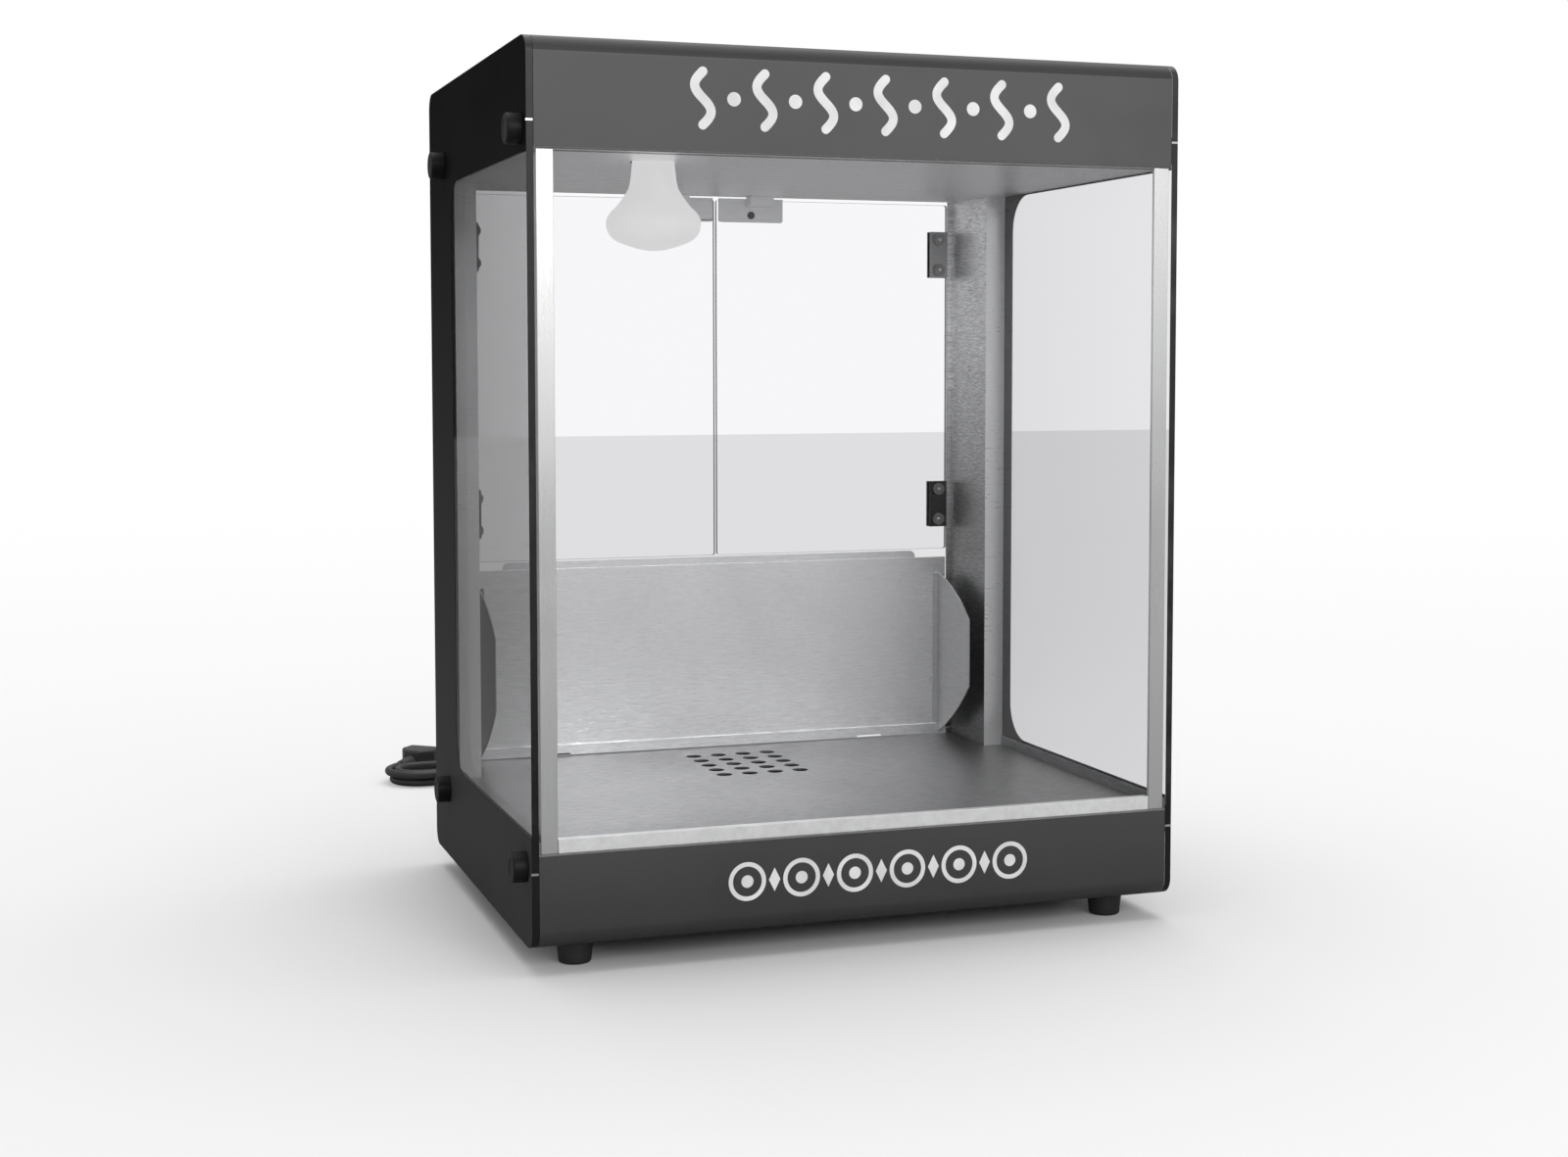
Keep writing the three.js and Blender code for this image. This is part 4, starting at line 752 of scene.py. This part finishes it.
# Plain designs printed in white on the bands: warm air waves above, rings and lozenges below
def stroke(build, line, width, place, depth):
    """A flat stroke of round ends along a line."""
    line = [Vector(p) for p in line]
    left, right = [], []
    for i, p in enumerate(line):
        way = (line[min(i + 1, len(line) - 1)] - line[max(i - 1, 0)]).normalized()
        out = Vector((-way.y, way.x)) * width / 2
        left.append(p + out)
        right.append(p - out)
    caps = []
    for p, before in ((line[-1], line[-2]), (line[0], line[1])):
        way = (p - before).normalized()
        start = atan2(way.y, way.x) + pi / 2
        turns = [start - pi * k / 10 for k in range(1, 10)]
        caps.append([p + Vector((cos(a), sin(a))) * width / 2 for a in turns])
    build.slab(left + caps[0] + right[::-1] + caps[1], place, depth)


def ring(build, x, y, outer, inner, place, depth, sides=48):
    around = [(cos(2 * pi * k / sides), sin(2 * pi * k / sides)) for k in range(sides + 1)]
    for a, b in zip(around, around[1:]):
        build.slab([(x + inner * a[0], y + inner * a[1]), (x + outer * a[0], y + outer * a[1]),
                    (x + outer * b[0], y + outer * b[1]), (x + inner * b[0], y + inner * b[1])], place, depth)


def disc(build, x, y, r, place, depth, sides=36):
    around = [2 * pi * k / sides for k in range(sides)]
    build.slab([(x + r * cos(a), y + r * sin(a)) for a in around], place, depth)


PRINT_DEPTH = 0.06
front_place = Matrix.Translation((0, -HALF_DEPTH, 0)) @ Matrix.Rotation(pi / 2, 4, "X")
build = Build()
WAVES, WAVE_PITCH, WAVE_HEIGHT, WAVE_SWING = 7, 42, 34, 5.5
WAVE_Z, WAVE_SHIFT, WAVE_STEPS, WAVE_WIDTH, DOT_RADIUS = 563.5, 12, 28, 6.2, 4.6
for i in range(WAVES):
    x = (i - (WAVES - 1) / 2) * WAVE_PITCH + WAVE_SHIFT
    line = [(x + WAVE_SWING * sin(2 * pi * k / WAVE_STEPS), WAVE_Z + WAVE_HEIGHT * (k / WAVE_STEPS - 0.5))
            for k in range(WAVE_STEPS + 1)]
    stroke(build, line, WAVE_WIDTH, front_place, PRINT_DEPTH)
    if i:
        disc(build, x - WAVE_PITCH / 2, WAVE_Z, DOT_RADIUS, front_place, PRINT_DEPTH)
new_piece("hood_print", build.mesh("hood_print"), [mark_white], "cabinet")
build = Build()
RINGS, RING_PITCH, RING_SHIFT, RING_Z = 6, 38, 10, 51.5
RING_OUTER, RING_INNER, RING_DOT, LOZENGE_HALF, LOZENGE_HEIGHT = 13, 10, 4.2, 4, 8
for i in range(RINGS):
    x = (i - (RINGS - 1) / 2) * RING_PITCH + RING_SHIFT
    ring(build, x, RING_Z, RING_OUTER, RING_INNER, front_place, PRINT_DEPTH)
    disc(build, x, RING_Z, RING_DOT, front_place, PRINT_DEPTH)
    if i:
        mid = x - RING_PITCH / 2
        lozenge = [(mid, RING_Z - LOZENGE_HEIGHT), (mid + LOZENGE_HALF, RING_Z),
                   (mid, RING_Z + LOZENGE_HEIGHT), (mid - LOZENGE_HALF, RING_Z)]
        build.slab(lozenge, front_place, PRINT_DEPTH)
new_piece("base_print", build.mesh("base_print"), [mark_white], "cabinet")
# The rocker rests tilted, and each half of its face slopes to the middle
ROCKER_PIVOT, ROCKER_REST, FACE_OUT, MARK_HEIGHT, MARK_DEPTH = (150, 172, 48), radians(-8), 3.85, 5, 0.08
rocker_place = Matrix.Translation(ROCKER_PIVOT) @ Matrix.Rotation(ROCKER_REST, 4, "X")
slope = atan2(1.3, 10)
build = Build()
for sign in (1, -1):
    spot = rocker_place @ Matrix.Translation((0, FACE_OUT, MARK_HEIGHT * sign))
    spot = spot @ Matrix.Rotation(-pi / 2 - sign * slope, 4, "X")
    if sign > 0:
        stroke(build, [(0, -2.2), (0, 2.2)], 0.9, spot, MARK_DEPTH)
    else:
        ring(build, 0, 0, 2.4, 1.6, spot, MARK_DEPTH, 32)
new_piece("switch_marks", build.mesh("switch_marks"), [mark_white], "rocker")

# The lead's skin, and its ride with the cabinet in place of the lead's solids
cord_data.materials.append(cord_rubber)
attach(cord, "cabinet")
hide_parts("cord_lead", "cord_hank")

# Floor and lamps: the floor turns white to the camera from NEAR metres on, by what FALL leaves in each
# metre, and to other rays from FAR_START to FAR_END metres; gloss sees it darker
NEAR, FALL, FAR_START, FAR_END = 0.2, 0.28, 0.8, 3.2
FLOOR_PALE, GLOSS_SHADE, GLOSS_GLOW, PANE_GLOW = 0.9, 0.35, 0.25, 0.8


def floor_material():
    m = bpy.data.materials.new("floor")
    m.use_nodes = True
    t = m.node_tree
    t.nodes.remove(t.nodes["Principled BSDF"])
    diffuse = t.nodes.new("ShaderNodeBsdfDiffuse")
    glow = t.nodes.new("ShaderNodeEmission")
    where = t.nodes.new("ShaderNodeTexCoord")
    length = t.nodes.new("ShaderNodeVectorMath")
    length.operation = "LENGTH"
    t.links.new(where.outputs["Object"], length.inputs[0])

    def sums(kind, a, b=0.0):
        made = t.nodes.new("ShaderNodeMath")
        made.operation = kind
        for socket, value in zip(made.inputs, (a, b)):
            if isinstance(value, (int, float)):
                socket.default_value = value
            else:
                t.links.new(value, socket)
        return made.outputs[0]

    def ramp(value, start, stop, low, high, kind="LINEAR"):
        made = t.nodes.new("ShaderNodeMapRange")
        made.interpolation_type = kind
        for socket, level in zip(("From Min", "From Max", "To Min", "To Max"), (start, stop, low, high)):
            if isinstance(level, (int, float)):
                made.inputs[socket].default_value = level
            else:
                t.links.new(level, made.inputs[socket])
        t.links.new(value, made.inputs["Value"])
        return made.outputs["Result"]

    path = t.nodes.new("ShaderNodeLightPath")
    distance = length.outputs["Value"]
    near = sums("MAXIMUM", sums("SUBTRACT", distance, NEAR), 0.0)
    pale = sums("SUBTRACT", 1.0, sums("POWER", FALL, near))
    far = ramp(distance, FAR_START, FAR_END, 0, 1, "SMOOTHSTEP")
    share = ramp(path.outputs["Is Camera Ray"], 0, 1, far, pale)
    behind_panes = ramp(path.outputs["Transparent Depth"], 0, 1, 1.0, PANE_GLOW)
    level = ramp(path.outputs["Is Glossy Ray"], 0, 1, behind_panes, GLOSS_GLOW)
    t.links.new(level, glow.inputs["Strength"])
    shade = t.nodes.new("ShaderNodeCombineColor")
    for socket in shade.inputs:
        t.links.new(ramp(path.outputs["Is Glossy Ray"], 0, 1, FLOOR_PALE, GLOSS_SHADE), socket)
    t.links.new(shade.outputs[0], diffuse.inputs["Color"])
    mix = t.nodes.new("ShaderNodeMixShader")
    t.links.new(share, mix.inputs[0])
    t.links.new(diffuse.outputs[0], mix.inputs[1])
    t.links.new(glow.outputs[0], mix.inputs[2])
    t.links.new(mix.outputs[0], t.nodes["Material Output"].inputs["Surface"])
    return m


floor_mesh = bpy.data.meshes.new("studio_floor")
reach, back = 14, 10.1
corners = [(-reach, -reach, 0), (reach, -reach, 0), (reach, back, 0), (-reach, back, 0)]
floor_mesh.from_pydata(corners, [], [(0, 1, 2, 3)])
floor_mesh.materials.append(floor_material())
floor = bpy.data.objects.new("studio_floor", floor_mesh)
floor.location = (0, 0, -0.0005)
scene.collection.objects.link(floor)


def area_light(name, place, aim, size, energy):
    data = bpy.data.lights.new(name, "AREA")
    data.shape = "RECTANGLE"
    data.size, data.size_y = size
    data.energy = energy
    lamp = bpy.data.objects.new(name, data)
    lamp.location = place
    lamp.rotation_euler = (Vector(place) - Vector(aim)).to_track_quat("Z", "Y").to_euler()
    scene.collection.objects.link(lamp)


area_light("top_light", (0.3, 0.5, 3.0), (0, 0, 0), (3.2, 3.2), 62)
area_light("front_light", (0.2, -3.2, 1.6), (0, 0, 0.4), (2.2, 1.4), 36)

world = bpy.data.worlds.new("studio")
scene.world = world
world.use_nodes = True
wt = world.node_tree
background = wt.nodes["Background"]
path = wt.nodes.new("ShaderNodeLightPath")
way = wt.nodes.new("ShaderNodeSeparateXYZ")
wt.links.new(wt.nodes.new("ShaderNodeTexCoord").outputs["Generated"], way.inputs[0])


def pick(flag, off, on):
    """A value that changes from off to on with a ray's kind."""
    made = wt.nodes.new("ShaderNodeMix")
    made.data_type = "FLOAT"
    wt.links.new(path.outputs[flag], made.inputs["Factor"])
    for key, value in (("A", off), ("B", on)):
        if isinstance(value, (int, float)):
            made.inputs[key].default_value = value
        else:
            wt.links.new(value, made.inputs[key])
    return made.outputs["Result"]


def across(axis, start, stop, low, high):
    """A level that changes smoothly with a direction's part along one axis."""
    made = wt.nodes.new("ShaderNodeMapRange")
    made.interpolation_type = "SMOOTHSTEP"
    for socket, value in zip(("From Min", "From Max", "To Min", "To Max"), (start, stop, low, high)):
        if isinstance(value, (int, float)):
            made.inputs[socket].default_value = value
        else:
            wt.links.new(value, made.inputs[socket])
    wt.links.new(way.outputs[axis], made.inputs["Value"])
    return made.outputs["Result"]


# Gloss sees a studio that is pale in front, behind and above, and dim at the back left and low in front
AMBIENT = 0.42
left_back = across("X", -0.36, -0.26, 0.6, 0.05)
behind = across("X", -0.15, 0.15, left_back, 0.62)
front = across("Z", -0.08, 0.03, 0.4, 0.78)
around = across("Y", -0.1, 0.3, front, behind)
gloss = across("Z", 0.35, 0.8, around, 0.6)
seen = pick("Is Glossy Ray", AMBIENT, gloss)
seen = pick("Is Transmission Ray", seen, 1.0)
seen = pick("Is Camera Ray", seen, 1.0)
wt.links.new(seen, background.inputs["Strength"])
background.inputs["Color"].default_value = (1, 1, 1, 1)

scene.view_settings.view_transform = "Standard"

low, high = cad_bounds
